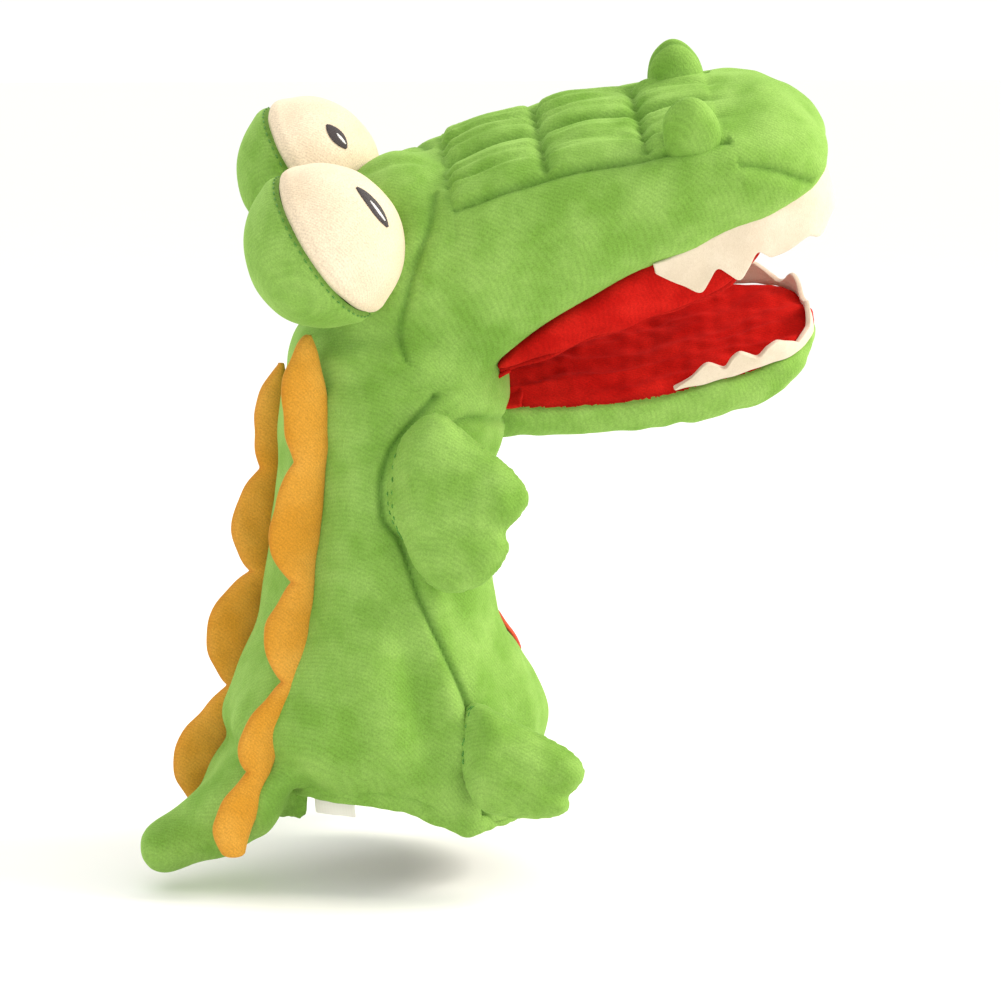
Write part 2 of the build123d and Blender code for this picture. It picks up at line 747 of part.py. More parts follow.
def tooth_strip(rows, length, full_width, lip, height, pitch, first, name):
    """A felt strip round a jaw, cut in scallops; height is negative where the teeth point down."""
    root = LIP_SEAM if height < 0 else -LIP_SEAM
    edge = -1.5 if height < 0 else 1.5
    front = length * 0.86
    with BuildPart() as scallops:
        add(band(lip, min(root, edge), max(root, edge), first, length * 0.999, FAR / 4))
        count = int((length - first) / pitch) + 1
        for index in range(count):
            x = first + pitch * (index + 0.5)
            z = lip(0, min(x, length * 0.99), length)[0][1]
            with BuildSketch(beside_head()):
                with Locations((x, z)):
                    Ellipse(pitch * 0.52, abs(height))
            extrude(amount=FAR / 4, both=True)
        for offset_y in (-0.5 * pitch, 0.5 * pitch):
            z = lip(0, length * 0.95, length)[0][1]
            with BuildSketch(across_head(front)):
                with Locations((offset_y, z)):
                    Ellipse(pitch * 0.52, abs(height))
            extrude(amount=FAR / 4)
    with BuildPart() as strip:
        add(plan_prism(rows, length, full_width, TOOTH_OUT, -FAR / 4, FAR / 4, first - TOOTH_IN - 1))
        add(plan_prism(rows, length, full_width, TOOTH_IN, -FAR / 4, FAR / 4, first - TOOTH_IN - 4),
            mode=Mode.SUBTRACT)
        add(scallops.part, mode=Mode.INTERSECT)
        if height < 0:
            add(band(lip, root, FAR / 4, first - pitch, length * 0.999, FAR / 4), mode=Mode.SUBTRACT)
        else:
            add(band(lip, -FAR / 4, root, first - pitch, length * 0.999, FAR / 4), mode=Mode.SUBTRACT)
        add(ahead_of(first), mode=Mode.INTERSECT)
    save(strip, name)


tooth_strip(HEAD_ROWS, SNOUT_LENGTH, SNOUT_HALF_WIDTH, upper_lip, -UPPER_TOOTH, TOOTH_PITCH, 60.0,
            "upper_teeth_strip")
tooth_strip(JAW_ROWS, JAW_LENGTH, JAW_HALF_WIDTH, lower_lip, LOWER_TOOTH, TOOTH_PITCH * 0.82, 64.0,
            "lower_teeth_strip")

with BuildPart() as mouth_fold:
    add(side_prism([
        (FACE_REAR, 10.0), (-1.0, 3.5), (-1.0, -3.5), (JAW_REAR - JOINT_GAP, -10.2),
        (JAW_REAR - JOINT_GAP, -10.2 - LINING), (-1.0 - LINING, -4.3), (-1.0 - LINING, 4.3),
        (FACE_REAR, 10.0 + LINING),
    ], JAW_HALF_WIDTH - LINING_RIM))
save(mouth_fold, "mouth_fold")

# Eyes: a ball of filling inside a sewn cover whose back is green and whose front is white.
EYE_COVER = 2.2
seam_lean = math.radians(EYE_SEAM_TILT)
EYE_FRONT = HEAD.x_dir * math.cos(seam_lean) + HEAD.z_dir * math.sin(seam_lean)
PUPILS = {"left": (33.0, -44.0), "right": (33.0, -20.0)}     # degrees up and to the left, about the eye

for side, side_name in ((1, "left"), (-1, "right")):
    centre = head_point(EYE_CENTRE[0], side * EYE_CENTRE[1], EYE_CENTRE[2])
    seam = Plane(origin=centre + EYE_FRONT * 1.0, x_dir=HEAD.y_dir, z_dir=EYE_FRONT)
    for piece, mode in (("eye_white", Mode.INTERSECT), ("eyelid", Mode.SUBTRACT)):
        with BuildPart() as cover:
            with Locations(centre):
                Sphere(EYE_RADIUS)
                Sphere(EYE_RADIUS - EYE_COVER, mode=Mode.SUBTRACT)
            with BuildSketch(seam):
                Rectangle(FAR, FAR)
            extrude(amount=FAR, mode=mode)
            add(head_solid.part, mode=Mode.SUBTRACT)
        save(cover, f"{piece}_{side_name}")
    with BuildPart() as eye_filling:
        with Locations(Location(Plane(origin=centre, x_dir=HEAD.x_dir, z_dir=HEAD.z_dir))):
            Sphere(EYE_RADIUS - EYE_COVER - 2 * LAYER_GAP)
        add(snout_outer, mode=Mode.SUBTRACT)
        add(collar_outer.part, mode=Mode.SUBTRACT)
    save(eye_filling, f"eye_filling_{side_name}")
    up, across = (math.radians(angle) for angle in PUPILS[side_name])
    gaze = HEAD.x_dir * (math.cos(up) * math.cos(across)) + HEAD.y_dir * (math.cos(up) * math.sin(across))
    gaze = gaze + HEAD.z_dir * math.sin(up)
    with BuildPart() as pupil:
        with Locations(centre):
            Sphere(EYE_RADIUS + PUPIL_THICK)
            Sphere(EYE_RADIUS, mode=Mode.SUBTRACT)
        lid_way = HEAD.z_dir.cross(gaze).normalized()
        with BuildSketch(Plane(origin=centre, x_dir=lid_way, z_dir=gaze)):
            Ellipse(PUPIL_WIDTH / 2, PUPIL_LENGTH / 2, rotation=-PUPIL_TILT)
        extrude(amount=FAR / 4, mode=Mode.INTERSECT)
    save(pupil, f"pupil_{side_name}")

NOSTRIL_ROWS = [
    (-12.0, 8.5, 5.0),
    (2.0, 9.0, 6.0),
    (10.0, 8.5, 5.5),
    (15.0, 6.0, 4.0),
    (NOSTRIL_HEIGHT, 3.0, 2.0),
]
for side, side_name in ((1, "left"), (-1, "right")):
    with BuildPart() as nostril:
        for rise, wide, thick in NOSTRIL_ROWS:
            foot_height = HEAD_HEIGHT - 2.0
            place = head_point(NOSTRIL_PLACE[0], side * NOSTRIL_PLACE[1], foot_height + rise)
            with BuildSketch(Plane(origin=place, x_dir=HEAD.x_dir, z_dir=HEAD.z_dir)):
                Ellipse(wide, thick)
        loft(ruled=True)
        add(snout_outer, mode=Mode.SUBTRACT)
    save(nostril, f"nostril_{side_name}")


# ---------------------------------------------------------------- jaw

jaw_outer = jaw_form(0)
jaw_inner = jaw_form(SKIN, rise=SKIN)
ahead_of_jaw_rear = ahead_of(JAW_REAR)

with BuildPart() as jaw_underside_panel:
    add(jaw_outer)
    add(jaw_inner, mode=Mode.SUBTRACT)
    add(ahead_of_jaw_rear, mode=Mode.INTERSECT)
save(jaw_underside_panel, "jaw_underside_panel")

with BuildPart() as throat_gusset:
    add(jaw_outer)
    add(jaw_inner, mode=Mode.SUBTRACT)
    add(ahead_of(COLLAR_FRONT + JOINT_GAP), mode=Mode.INTERSECT)
    add(ahead_of(JAW_REAR - JOINT_GAP), mode=Mode.SUBTRACT)
    add(over_neck_high, mode=Mode.INTERSECT)
save(throat_gusset, "throat_gusset")

FLOOR_TOP = 1.2
FLOOR_LOW = -SKIN
with BuildPart() as jaw_lining:
    add(band(lower_lip, FLOOR_LOW, FLOOR_TOP, JAW_REAR, JAW_LENGTH * 0.99, FAR / 4))
    add(plan_prism(JAW_ROWS, JAW_LENGTH, JAW_HALF_WIDTH, LINING_RIM, -FAR / 4, FAR / 4, JAW_REAR - LINING_RIM),
        mode=Mode.INTERSECT)
save(jaw_lining, "jaw_lining")

JAW_BOARD_HIGH = FLOOR_LOW - LAYER_GAP
JAW_BOARD_LOW = JAW_BOARD_HIGH - BOARD
with BuildPart() as lower_mouth_board:
    add(band(lower_lip, JAW_BOARD_LOW, JAW_BOARD_HIGH, JAW_REAR, JAW_LENGTH * 0.94, FAR / 4))
    add(plan_prism(JAW_ROWS, JAW_LENGTH, JAW_HALF_WIDTH, LINING_RIM, -FAR / 4, FAR / 4, JAW_REAR - LINING_RIM),
        mode=Mode.INTERSECT)
save(lower_mouth_board, "lower_mouth_board")

THUMB_TIP = 0.8         # width of the thumb pocket's end as a share of its mouth
THUMB_END = JAW_REAR + THUMB_LENGTH
jaw_stations = [row[0] * JAW_LENGTH for row in JAW_ROWS]
thumb_stations = [x for x in jaw_stations if JAW_REAR < x < THUMB_END - 4]
thumb_rows = []
for x in (JAW_REAR, *thumb_stations, THUMB_END):
    width = THUMB_HALF_WIDTH * (1 - (1 - THUMB_TIP) * (x - JAW_REAR) / THUMB_LENGTH) + LINING
    roof = lower_lip(JAW_BOARD_LOW - LAYER_GAP, x, JAW_LENGTH)[0][1]
    thumb_rows.append((x, width, roof - THUMB_HEIGHT - 2 * LINING, roof))

with BuildPart() as thumb_pocket_lining:
    add(pocket_form(0, thumb_rows, 0))
    add(pocket_form(LINING, thumb_rows, LINING), mode=Mode.SUBTRACT)
save(thumb_pocket_lining, "thumb_pocket_lining")

with BuildPart() as jaw_stuffing:
    add(jaw_form(SKIN + LAYER_GAP))
    add(ahead_of_jaw_rear, mode=Mode.INTERSECT)
    add(band(lower_lip, -FAR / 4, JAW_BOARD_LOW - LAYER_GAP, JAW_REAR - 1, JAW_LENGTH, FAR / 4),
        mode=Mode.INTERSECT)
    add(pocket_form(-LAYER_GAP, thumb_rows, LAYER_GAP + 1), mode=Mode.SUBTRACT)
save(jaw_stuffing, "jaw_stuffing")
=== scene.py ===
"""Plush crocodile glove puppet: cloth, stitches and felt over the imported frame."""

import logging
import math
from dataclasses import dataclass, field
from enum import Enum
from typing import Callable, Sequence

import bmesh
import bpy
import numpy as np
from mathutils import Matrix, Vector
from mathutils.bvhtree import BVHTree

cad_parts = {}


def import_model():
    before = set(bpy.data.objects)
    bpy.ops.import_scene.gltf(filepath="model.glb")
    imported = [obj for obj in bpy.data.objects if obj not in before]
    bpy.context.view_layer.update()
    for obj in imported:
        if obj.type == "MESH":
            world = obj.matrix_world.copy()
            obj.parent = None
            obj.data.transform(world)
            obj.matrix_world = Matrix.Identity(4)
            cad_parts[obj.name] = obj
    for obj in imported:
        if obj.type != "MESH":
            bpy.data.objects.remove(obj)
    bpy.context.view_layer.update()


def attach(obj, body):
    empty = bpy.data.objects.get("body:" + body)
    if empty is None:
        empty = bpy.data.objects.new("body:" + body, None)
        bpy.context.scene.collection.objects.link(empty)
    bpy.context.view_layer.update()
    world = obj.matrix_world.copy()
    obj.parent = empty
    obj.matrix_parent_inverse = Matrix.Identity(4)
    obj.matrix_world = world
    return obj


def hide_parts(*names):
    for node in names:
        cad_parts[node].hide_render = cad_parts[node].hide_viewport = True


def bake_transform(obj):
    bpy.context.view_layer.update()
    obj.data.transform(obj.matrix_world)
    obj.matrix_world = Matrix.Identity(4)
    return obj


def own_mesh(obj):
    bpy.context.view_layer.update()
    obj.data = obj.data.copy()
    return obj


log = logging.getLogger("puppet")

Object = bpy.types.Object
Row = tuple[float, ...]

METRES = 0.001  # sizes in this file are millimetres, and Blender's are metres
NECK_LEAN = math.radians(25.7)  # the neck's own axis leans forward by this
NECK_AXIS = np.array([math.sin(NECK_LEAN), 0.0, math.cos(NECK_LEAN)])
WAVE_PERIOD = 0.31  # from band to band of a wave texture at scale 1


class Side(Enum):
    """The two sides of the puppet."""

    LEFT = 1
    RIGHT = -1

    @property
    def word(self) -> str:
        """The side's name in piece names."""
        return self.name.lower()


# ---------------------------------------------------------------- shapes


def along(rows: Sequence[Row], at: np.ndarray) -> np.ndarray:
    """Reads a table smoothly between its rows, without overshooting them.

    Args:
        rows: rows of (station, value, value, ...), in order of station.
        at: the stations wanted.

    Returns:
        One row of values for each station wanted.
    """
    table = np.array(rows, float)
    x, y = table[:, 0], table[:, 1:]
    step = np.diff(x)
    slope = np.diff(y, axis=0) / step[:, None]
    tangent = np.zeros_like(y)
    product = slope[:-1] * slope[1:]
    total = slope[:-1] + slope[1:]
    total = np.where(np.abs(total) < 1e-9, 1e-9, total)
    tangent[1:-1] = np.where(product > 0, 2 * product / total, 0)
    tangent[0], tangent[-1] = slope[0], slope[-1]
    at = np.clip(np.asarray(at, float), x[0], x[-1])
    i = np.clip(np.searchsorted(x, at) - 1, 0, len(x) - 2)
    h = step[i][:, None]
    t = ((at - x[i]) / step[i])[:, None]
    return (
        y[i] * (1 + 2 * t) * (1 - t) ** 2
        + tangent[i] * h * t * (1 - t) ** 2
        + y[i + 1] * t * t * (3 - 2 * t)
        + tangent[i + 1] * h * t * t * (t - 1)
    )


def curve(rows: Sequence[Row]) -> Callable:
    """A table of two columns as a function of the first."""
    return lambda at, *_: along(rows, at)[:, 0]


def smooth(value: np.ndarray, start: float, end: float) -> np.ndarray:
    """Goes from 0 at start to 1 at end, level at both."""
    t = np.clip((np.asarray(value, float) - start) / (end - start), 0, 1)
    return t * t * (3 - 2 * t)


def oval(half_a: float, half_b: float, power: float, count: int) -> np.ndarray:
    """Points round an oval; a power of 2 is an ellipse and a higher one is squarer."""
    turn = np.linspace(0, 2 * math.pi, count, endpoint=False)
    c, s = np.cos(turn), np.sin(turn)
    share = 2 / power
    return np.stack(
        [half_a * np.sign(c) * np.abs(c) ** share, half_b * np.sign(s) * np.abs(s) ** share], 1
    )


def waves(points: np.ndarray, size: float, seed: int, count: int = 14) -> np.ndarray:
    """A soft random height at each point, about -1 to 1, the same on each run.

    Args:
        points: places, in millimetres.
        size: how far apart its hills are, in millimetres.
        seed: another seed gives other hills.
        count: how many waves are added up.

    Returns:
        One height for each point.
    """
    chance = np.random.default_rng(seed)
    ways = chance.normal(size=(count, 3))
    ways *= (chance.uniform(0.7, 1.4, count) / np.linalg.norm(ways, axis=1))[:, None]
    shift = chance.uniform(0, 2 * math.pi, count)
    return np.sin(points @ ways.T * (2 * math.pi / size) + shift).sum(1) / math.sqrt(count) / 1.2


def distance_to_line(points: np.ndarray, line: np.ndarray) -> np.ndarray:
    """Distance from each point to a line of straight runs, in as many dimensions as both have."""
    best = np.full(len(points), 1e9)
    for a, b in zip(line[:-1], line[1:]):
        run = b - a
        t = np.clip((points - a) @ run / max(run @ run, 1e-9), 0, 1)
        best = np.minimum(best, np.linalg.norm(points - a - t[:, None] * run, axis=1))
    return best


def even(line: Sequence[Row], pitch: float) -> np.ndarray:
    """A smooth line through points, divided evenly."""
    points = np.array(line, float)
    reach = np.r_[0, np.cumsum(np.linalg.norm(np.diff(points, axis=0), axis=1))]
    rows = np.c_[reach, points]
    count = max(int(reach[-1] / pitch), 2)
    return along([tuple(row) for row in rows], np.linspace(0, reach[-1], count + 1))


@dataclass(frozen=True)
class HeadFrame:
    """The head's own axes at rest: X along the snout, Y left, Z up, from the jaw's hinge."""

    turn: float = -14.0
    roll: float = 28.0
    pitch: float = -20.0
    origin: tuple[float, float, float] = (35.8, 0.0, 163.8)

    @property
    def axes(self) -> np.ndarray:
        """The head's axes as columns."""
        z, x, y = (math.radians(angle) for angle in (self.turn, self.roll, self.pitch))
        turned = Matrix.Rotation(z, 3, "Z") @ Matrix.Rotation(x, 3, "X") @ Matrix.Rotation(y, 3, "Y")
        return np.array(turned)

    def out(self, points: np.ndarray) -> np.ndarray:
        """Head places as places in the row frame."""
        return np.asarray(points, float) @ self.axes.T + np.array(self.origin)

    def local(self, points: np.ndarray) -> np.ndarray:
        """Places in the row frame as head places."""
        return (points - np.array(self.origin)) @ self.axes


HEAD = HeadFrame()


# ---------------------------------------------------------------- meshes


def make(name: str, points: np.ndarray, faces: Sequence[Sequence[int]]) -> Object:
    """A mesh object at the origin, from places in millimetres in the row frame."""
    mesh = bpy.data.meshes.new(name)
    mesh.from_pydata((np.asarray(points, float) * METRES).tolist(), [], [list(f) for f in faces])
    mesh.validate()
    obj = bpy.data.objects.new(name, mesh)
    bpy.context.scene.collection.objects.link(obj)
    return obj


def grid_faces(rows: int, columns: int, closed: bool = True) -> list[list[int]]:
    """Quads of a grid of points; a closed one joins its last column to its first."""
    last = columns if closed else columns - 1
    faces = []
    for i in range(rows - 1):
        for j in range(last):
            k = (j + 1) % columns
            faces.append([i * columns + j, i * columns + k, (i + 1) * columns + k, (i + 1) * columns + j])
    return faces


def loft(name: str, rings: np.ndarray, caps: bool = True) -> Object:
    """A closed skin over rings of equal counts, each end shut by a fan of faces."""
    rows, columns, _ = rings.shape
    points = rings.reshape(-1, 3)
    faces = grid_faces(rows, columns)
    if caps:
        points = np.vstack([points, rings[0].mean(0), rings[-1].mean(0)])
        first, last = rows * columns, rows * columns + 1
        for j in range(columns):
            k = (j + 1) % columns
            faces.append([first, k, j])
            faces.append([last, (rows - 1) * columns + j, (rows - 1) * columns + k])
    obj = make(name, points, faces)
    outwards(obj)
    return obj


def outwards(obj: Object) -> None:
    """Turns a shell's faces outwards."""
    shell = bmesh.new()
    shell.from_mesh(obj.data)
    bmesh.ops.recalc_face_normals(shell, faces=shell.faces)
    shell.to_mesh(obj.data)
    shell.free()


def choose(obj: Object) -> None:
    """Makes an object the only one selected, and the active one."""
    bpy.ops.object.select_all(action="DESELECT")
    obj.hide_set(False)
    obj.select_set(True)
    bpy.context.view_layer.objects.active = obj


def modify(obj: Object, kind: str, **settings: object) -> Object:
    """Adds a modifier with these settings and applies it."""
    choose(obj)
    modifier = obj.modifiers.new(kind.title(), kind)
    for key, value in settings.items():
        setattr(modifier, key, value)
    bpy.ops.object.modifier_apply(modifier=modifier.name)
    return obj


def subdivide(obj: Object, levels: int = 1) -> Object:
    """Rounds a mesh by subdivision, applied."""
    return modify(obj, "SUBSURF", levels=levels, render_levels=levels)


def shade(obj: Object) -> Object:
    """Smooth shading all over."""
    obj.data.polygons.foreach_set("use_smooth", [True] * len(obj.data.polygons))
    obj.data.update()
    return obj


def join(objects: Sequence[Object]) -> Object:
    """Joins several meshes into the first."""
    choose(objects[0])
    for obj in objects[1:]:
        obj.select_set(True)
    bpy.ops.object.join()
    return objects[0]


def places(obj: Object) -> np.ndarray:
    """An object's vertices in millimetres."""
    flat = np.empty(len(obj.data.vertices) * 3)
    obj.data.vertices.foreach_get("co", flat)
    return flat.reshape(-1, 3) / METRES


def normals(obj: Object) -> np.ndarray:
    """An object's vertex normals."""
    flat = np.empty(len(obj.data.vertices) * 3)
    obj.data.vertex_normals.foreach_get("vector", flat)
    return flat.reshape(-1, 3)


def move(obj: Object, points: np.ndarray) -> None:
    """Puts an object's vertices at these places, in millimetres."""
    obj.data.vertices.foreach_set("co", (points * METRES).ravel())
    obj.data.update()


def push(obj: Object, height: np.ndarray) -> None:
    """Moves each vertex along its normal, in millimetres."""
    move(obj, places(obj) + normals(obj) * height[:, None])


def mark(obj: Object, name: str, values: np.ndarray) -> None:
    """Keeps one number per vertex for a material to read."""
    attribute = obj.data.attributes.get(name) or obj.data.attributes.new(name, "FLOAT", "POINT")
    attribute.data.foreach_set("value", values.astype(np.float32))


def quads_of(obj: Object) -> np.ndarray:
    """The four vertices of each face of a mesh of quads."""
    loops = np.empty(len(obj.data.loops), np.int64)
    obj.data.loops.foreach_get("vertex_index", loops)
    return loops.reshape(-1, 4)


def metres(point: Sequence[float]) -> Row:
    """A place in millimetres as a point in metres."""
    return tuple(float(v) * METRES for v in point)


def split(
    obj: Object, labels: np.ndarray, names: Sequence[str], keep: Sequence[str] = ("seam",)
) -> list[Object]:
    """Cuts a mesh of quads into pieces by a label on each face; the cut edges still meet exactly.

    Args:
        obj: the mesh, which is removed.
        labels: one index into names for each face, or -1 for a face that is dropped.
        names: the pieces' names.
        keep: vertex numbers that the pieces keep.

    Returns:
        The pieces.
    """
    quads = quads_of(obj)
    points = places(obj)
    kept = {}
    for name in keep:
        kept[name] = np.empty(len(points), np.float32)
        obj.data.attributes[name].data.foreach_get("value", kept[name])
    pieces = []
    for index, name in enumerate(names):
        chosen = quads[labels == index]
        used, again = np.unique(chosen, return_inverse=True)
        piece = make(name, points[used], again.reshape(-1, 4).tolist())
        for key, values in kept.items():
            mark(piece, key, values[used])
        pieces.append(shade(piece))
    bpy.data.objects.remove(obj)
    return pieces


def tree_of(obj: Object) -> BVHTree:
    """A search tree over an object, in metres."""
    return BVHTree.FromObject(obj, bpy.context.evaluated_depsgraph_get())


def onto(tree: BVHTree, points: np.ndarray, way: np.ndarray | None = None) -> tuple[np.ndarray, np.ndarray]:
    """The places on a surface nearest to points, or that a ray from them along way meets.

    Args:
        tree: the surface's search tree.
        points: places in millimetres.
        way: a direction, or None for the nearest place.

    Returns:
        Places on the surface in millimetres, and its normals there.
    """
    found, facing = [], []
    for point in points:
        start = Vector(point * METRES)
        hit = tree.find_nearest(start) if way is None else tree.ray_cast(start, Vector(way))
        if hit[0] is None:
            hit = tree.find_nearest(start)
        found.append(np.array(hit[0]) / METRES)
        facing.append(np.array(hit[1]))
    return np.array(found), np.array(facing)


# ---------------------------------------------------------------- finishes


def linear(code: str) -> tuple[float, float, float, float]:
    """A colour code such as 84b840 as linear light."""
    parts = [int(code[i : i + 2], 16) / 255 for i in (0, 2, 4)]
    light = [v / 12.92 if v <= 0.04045 else ((v + 0.055) / 1.055) ** 2.4 for v in parts]
    return (*light, 1.0)


class Bench:
    """One material's node tree, with one call to add a node."""

    def __init__(self, name: str) -> None:
        """Starts an empty material of that name."""
        self.material = bpy.data.materials.new(name)
        self.material.use_nodes = True
        self.tree = self.material.node_tree
        self.tree.nodes.clear()

    def add(self, kind: str, inputs: dict | None = None, **settings: object) -> bpy.types.Node:
        """Adds a node; an input is a constant, or a (node, output) pair to link.

        Args:
            kind: the node's type without the ShaderNode part.
            inputs: sockets by name or index.
            **settings: the node's own properties.

        Returns:
            The node.
        """
        node = self.tree.nodes.new("ShaderNode" + kind)
        for key, value in settings.items():
            setattr(node, key, value)
        for key, value in (inputs or {}).items():
            if isinstance(value, tuple) and len(value) == 2 and isinstance(value[0], bpy.types.Node):
                self.tree.links.new(value[0].outputs[value[1]], node.inputs[key])
            else:
                node.inputs[key].default_value = value
        return node

    def output(self, shader: bpy.types.Node) -> bpy.types.Material:
        """Links the surface and hands over the material."""
        self.add("OutputMaterial", {"Surface": (shader, 0)})
        return self.material

    def place(self, scale: float) -> bpy.types.Node:
        """Object coordinates, with scale repeats to the millimetre."""
        coordinates = self.add("TexCoord")
        return self.add("Mapping", {"Vector": (coordinates, "Object"), "Scale": (scale / METRES,) * 3})


@dataclass(frozen=True)
class Plush:
    """Short-pile velour: a soft pile with patches of painted highlight and painted shade, over a fine knitted
    rib.
    """

    name: str
    body: str  # the cloth's own colour
    nap_highlight: str  # painted highlight: lighter patches where the pile would catch the light
    shaded: str  # painted shade: darker patches where the pile would face away from the light
    seam: str  # painted shade down in a seam's groove
    rib: float = 0.9  # mm from one rib to the next
    ribbed: float = 0.1  # how much the ribs show beside the tufts
    pile: float = 0.55  # mm between tufts
    patch: float = 16.0  # mm across a patch of painted highlight and shade
    nap: float = 0.35  # how strongly the patches of painted highlight and shade show
    sheen: float = 0.55
    shine: float = 0.18  # how much light the fibres throw back unscattered
    depth: float = 0.35  # mm of relief in the pile

    def build(self) -> bpy.types.Material:
        """The material."""
        bench = Bench(self.name)
        place = bench.place(1.0)
        patches = bench.add(
            "TexNoise", {"Vector": (place, 0), "Scale": 1 / self.patch, "Detail": 3.0, "Roughness": 0.55}
        )
        patch_range = bench.add("MapRange", {"Value": (patches, 0), "From Min": 0.35, "From Max": 0.65})
        # painted highlight and painted shade, mixed in soft random patches
        nap = bench.add("Mix", {"Factor": (patch_range, 0)}, data_type="RGBA")
        nap.inputs[6].default_value = linear(self.shaded)
        nap.inputs[7].default_value = linear(self.nap_highlight)
        cloth = bench.add("Mix", {"Factor": self.nap}, data_type="RGBA")
        cloth.inputs[6].default_value = linear(self.body)
        bench.tree.links.new(nap.outputs[2], cloth.inputs[7])
        tufts = bench.add(
            "TexNoise", {"Vector": (place, 0), "Scale": 1 / self.pile, "Detail": 2.0, "Roughness": 0.6}
        )
        ribs = bench.add(
            "TexWave",
            {
                "Vector": (place, 0),
                "Scale": WAVE_PERIOD / self.rib,
                "Distortion": 0.8,
                "Detail": 2.0,
                "Detail Scale": 2.0,
            },
            wave_type="BANDS",
            bands_direction="DIAGONAL",
        )
        relief = bench.add("Mix", {"Factor": self.ribbed, "A": (tufts, 0), "B": (ribs, 1)}, data_type="FLOAT")
        fleck = bench.add(
            "MapRange",
            {"Value": (relief, 0), "From Min": 0.3, "From Max": 0.7, "To Min": 0.8, "To Max": 1.14},
        )
        flecked = bench.add("Mix", {"Factor": 1.0}, data_type="RGBA", blend_type="MULTIPLY")
        bench.tree.links.new(cloth.outputs[2], flecked.inputs[6])
        bench.tree.links.new(fleck.outputs[0], flecked.inputs[7])
        # painted shade: the seam mark darkens the cloth towards the seam colour in seams and creases
        stitched = bench.add("Attribute", attribute_name="seam")
        deep = bench.add("MapRange", {"Value": (stitched, 2), "To Max": 0.5})
        colour = bench.add("Mix", {"Factor": (deep, 0)}, data_type="RGBA")
        bench.tree.links.new(flecked.outputs[2], colour.inputs[6])
        colour.inputs[7].default_value = linear(self.seam)
        bump = bench.add("Bump", {"Height": (relief, 0), "Strength": 0.55, "Distance": self.depth * METRES})
        shader = bench.add(
            "BsdfPrincipled",
            {
                "Base Color": (colour, 2),
                "Roughness": 0.92,
                "Specular IOR Level": self.shine,
                "Sheen Weight": self.sheen,
                "Sheen Roughness": 0.45,
                "Sheen Tint": linear(self.nap_highlight),
                "Normal": (bump, 0),
            },
        )
        return bench.output(shader)


@dataclass(frozen=True)
class Felt:
    """Pressed felt: matted fibres with no grain."""

    name: str
    body: str
    fibre: str
    size: float = 0.8  # mm across a mat of fibres

    def build(self) -> bpy.types.Material:
        """The material."""
        bench = Bench(self.name)
        place = bench.place(1.0)
        mats = bench.add(
            "TexNoise", {"Vector": (place, 0), "Scale": 1 / self.size, "Detail": 5.0, "Distortion": 1.4}
        )
        broad = bench.add("TexNoise", {"Vector": (place, 0), "Scale": 0.09, "Detail": 2.0})
        share = bench.add("Mix", {"Factor": 0.5, "A": (mats, 0), "B": (broad, 0)}, data_type="FLOAT")
        spread = bench.add("MapRange", {"Value": (share, 0), "From Min": 0.36, "From Max": 0.64})
        colour = bench.add("Mix", {"Factor": (spread, 0)}, data_type="RGBA")
        colour.inputs[6].default_value = linear(self.body)
        colour.inputs[7].default_value = linear(self.fibre)
        bump = bench.add("Bump", {"Height": (mats, 0), "Strength": 0.5, "Distance": 0.25 * METRES})
        shader = bench.add(
            "BsdfPrincipled",
            {
                "Base Color": (colour, 2),
                "Roughness": 0.95,
                "Specular IOR Level": 0.15,
                "Sheen Weight": 0.3,
                "Sheen Roughness": 0.5,
                "Normal": (bump, 0),
            },
        )
        return bench.output(shader)


@dataclass(frozen=True)
class Woven:
    """Plain woven lining or label tape."""

    name: str
    body: str
    shadow: str
    thread: float = 0.5  # mm from one thread to the next

    def build(self) -> bpy.types.Material:
        """The material."""
        bench = Bench(self.name)
        place = bench.place(1.0)
        wave = {"Vector": (place, 0), "Scale": WAVE_PERIOD / self.thread}
        warp = bench.add("TexWave", wave, bands_direction="X")
        weft = bench.add("TexWave", wave, bands_direction="Z")
        weave = bench.add("Mix", {"Factor": 0.5, "A": (warp, 1), "B": (weft, 1)}, data_type="FLOAT")
        creased = bench.add("TexNoise", {"Vector": (place, 0), "Scale": 0.08, "Detail": 3.0})
        share = bench.add("Mix", {"Factor": 0.6, "A": (weave, 0), "B": (creased, 0)}, data_type="FLOAT")
        # painted shade: the shadow colour fills the weave's gaps and soft patches standing for creases
        colour = bench.add("Mix", {"Factor": (share, 0)}, data_type="RGBA")
        colour.inputs[6].default_value = linear(self.shadow)
        colour.inputs[7].default_value = linear(self.body)
        bump = bench.add("Bump", {"Height": (weave, 0), "Strength": 0.4, "Distance": 0.15 * METRES})
        shader = bench.add(
            "BsdfPrincipled",
            {"Base Color": (colour, 2), "Roughness": 0.85, "Specular IOR Level": 0.2, "Normal": (bump, 0)},
        )
        return bench.output(shader)


@dataclass(frozen=True)
class Thread:
    """Polyester sewing or embroidery thread, with a faint painted highlight along its strands."""

    name: str
    body: str
    light: str
    strand: float = 0.35  # mm from one strand to the next
    rough: float = 0.5

    def build(self) -> bpy.types.Material:
        """The material."""
        bench = Bench(self.name)
        place = bench.place(1.0)
        strands = bench.add(
            "TexWave",
            {"Vector": (place, 0), "Scale": WAVE_PERIOD / self.strand, "Distortion": 0.6},
            bands_direction="DIAGONAL",
        )
        # painted highlight along the strands, in the light colour
        colour = bench.add("Mix", {"Factor": (strands, 1)}, data_type="RGBA")
        colour.inputs[6].default_value = linear(self.body)
        colour.inputs[7].default_value = linear(self.light)
        bump = bench.add("Bump", {"Height": (strands, 1), "Strength": 0.6, "Distance": 0.12 * METRES})
        shader = bench.add(
            "BsdfPrincipled",
            {
                "Base Color": (colour, 2),
                "Roughness": self.rough,
                "Specular IOR Level": 0.35,
                "Sheen Weight": 0.2,
                "Normal": (bump, 0),
            },
        )
        return bench.output(shader)


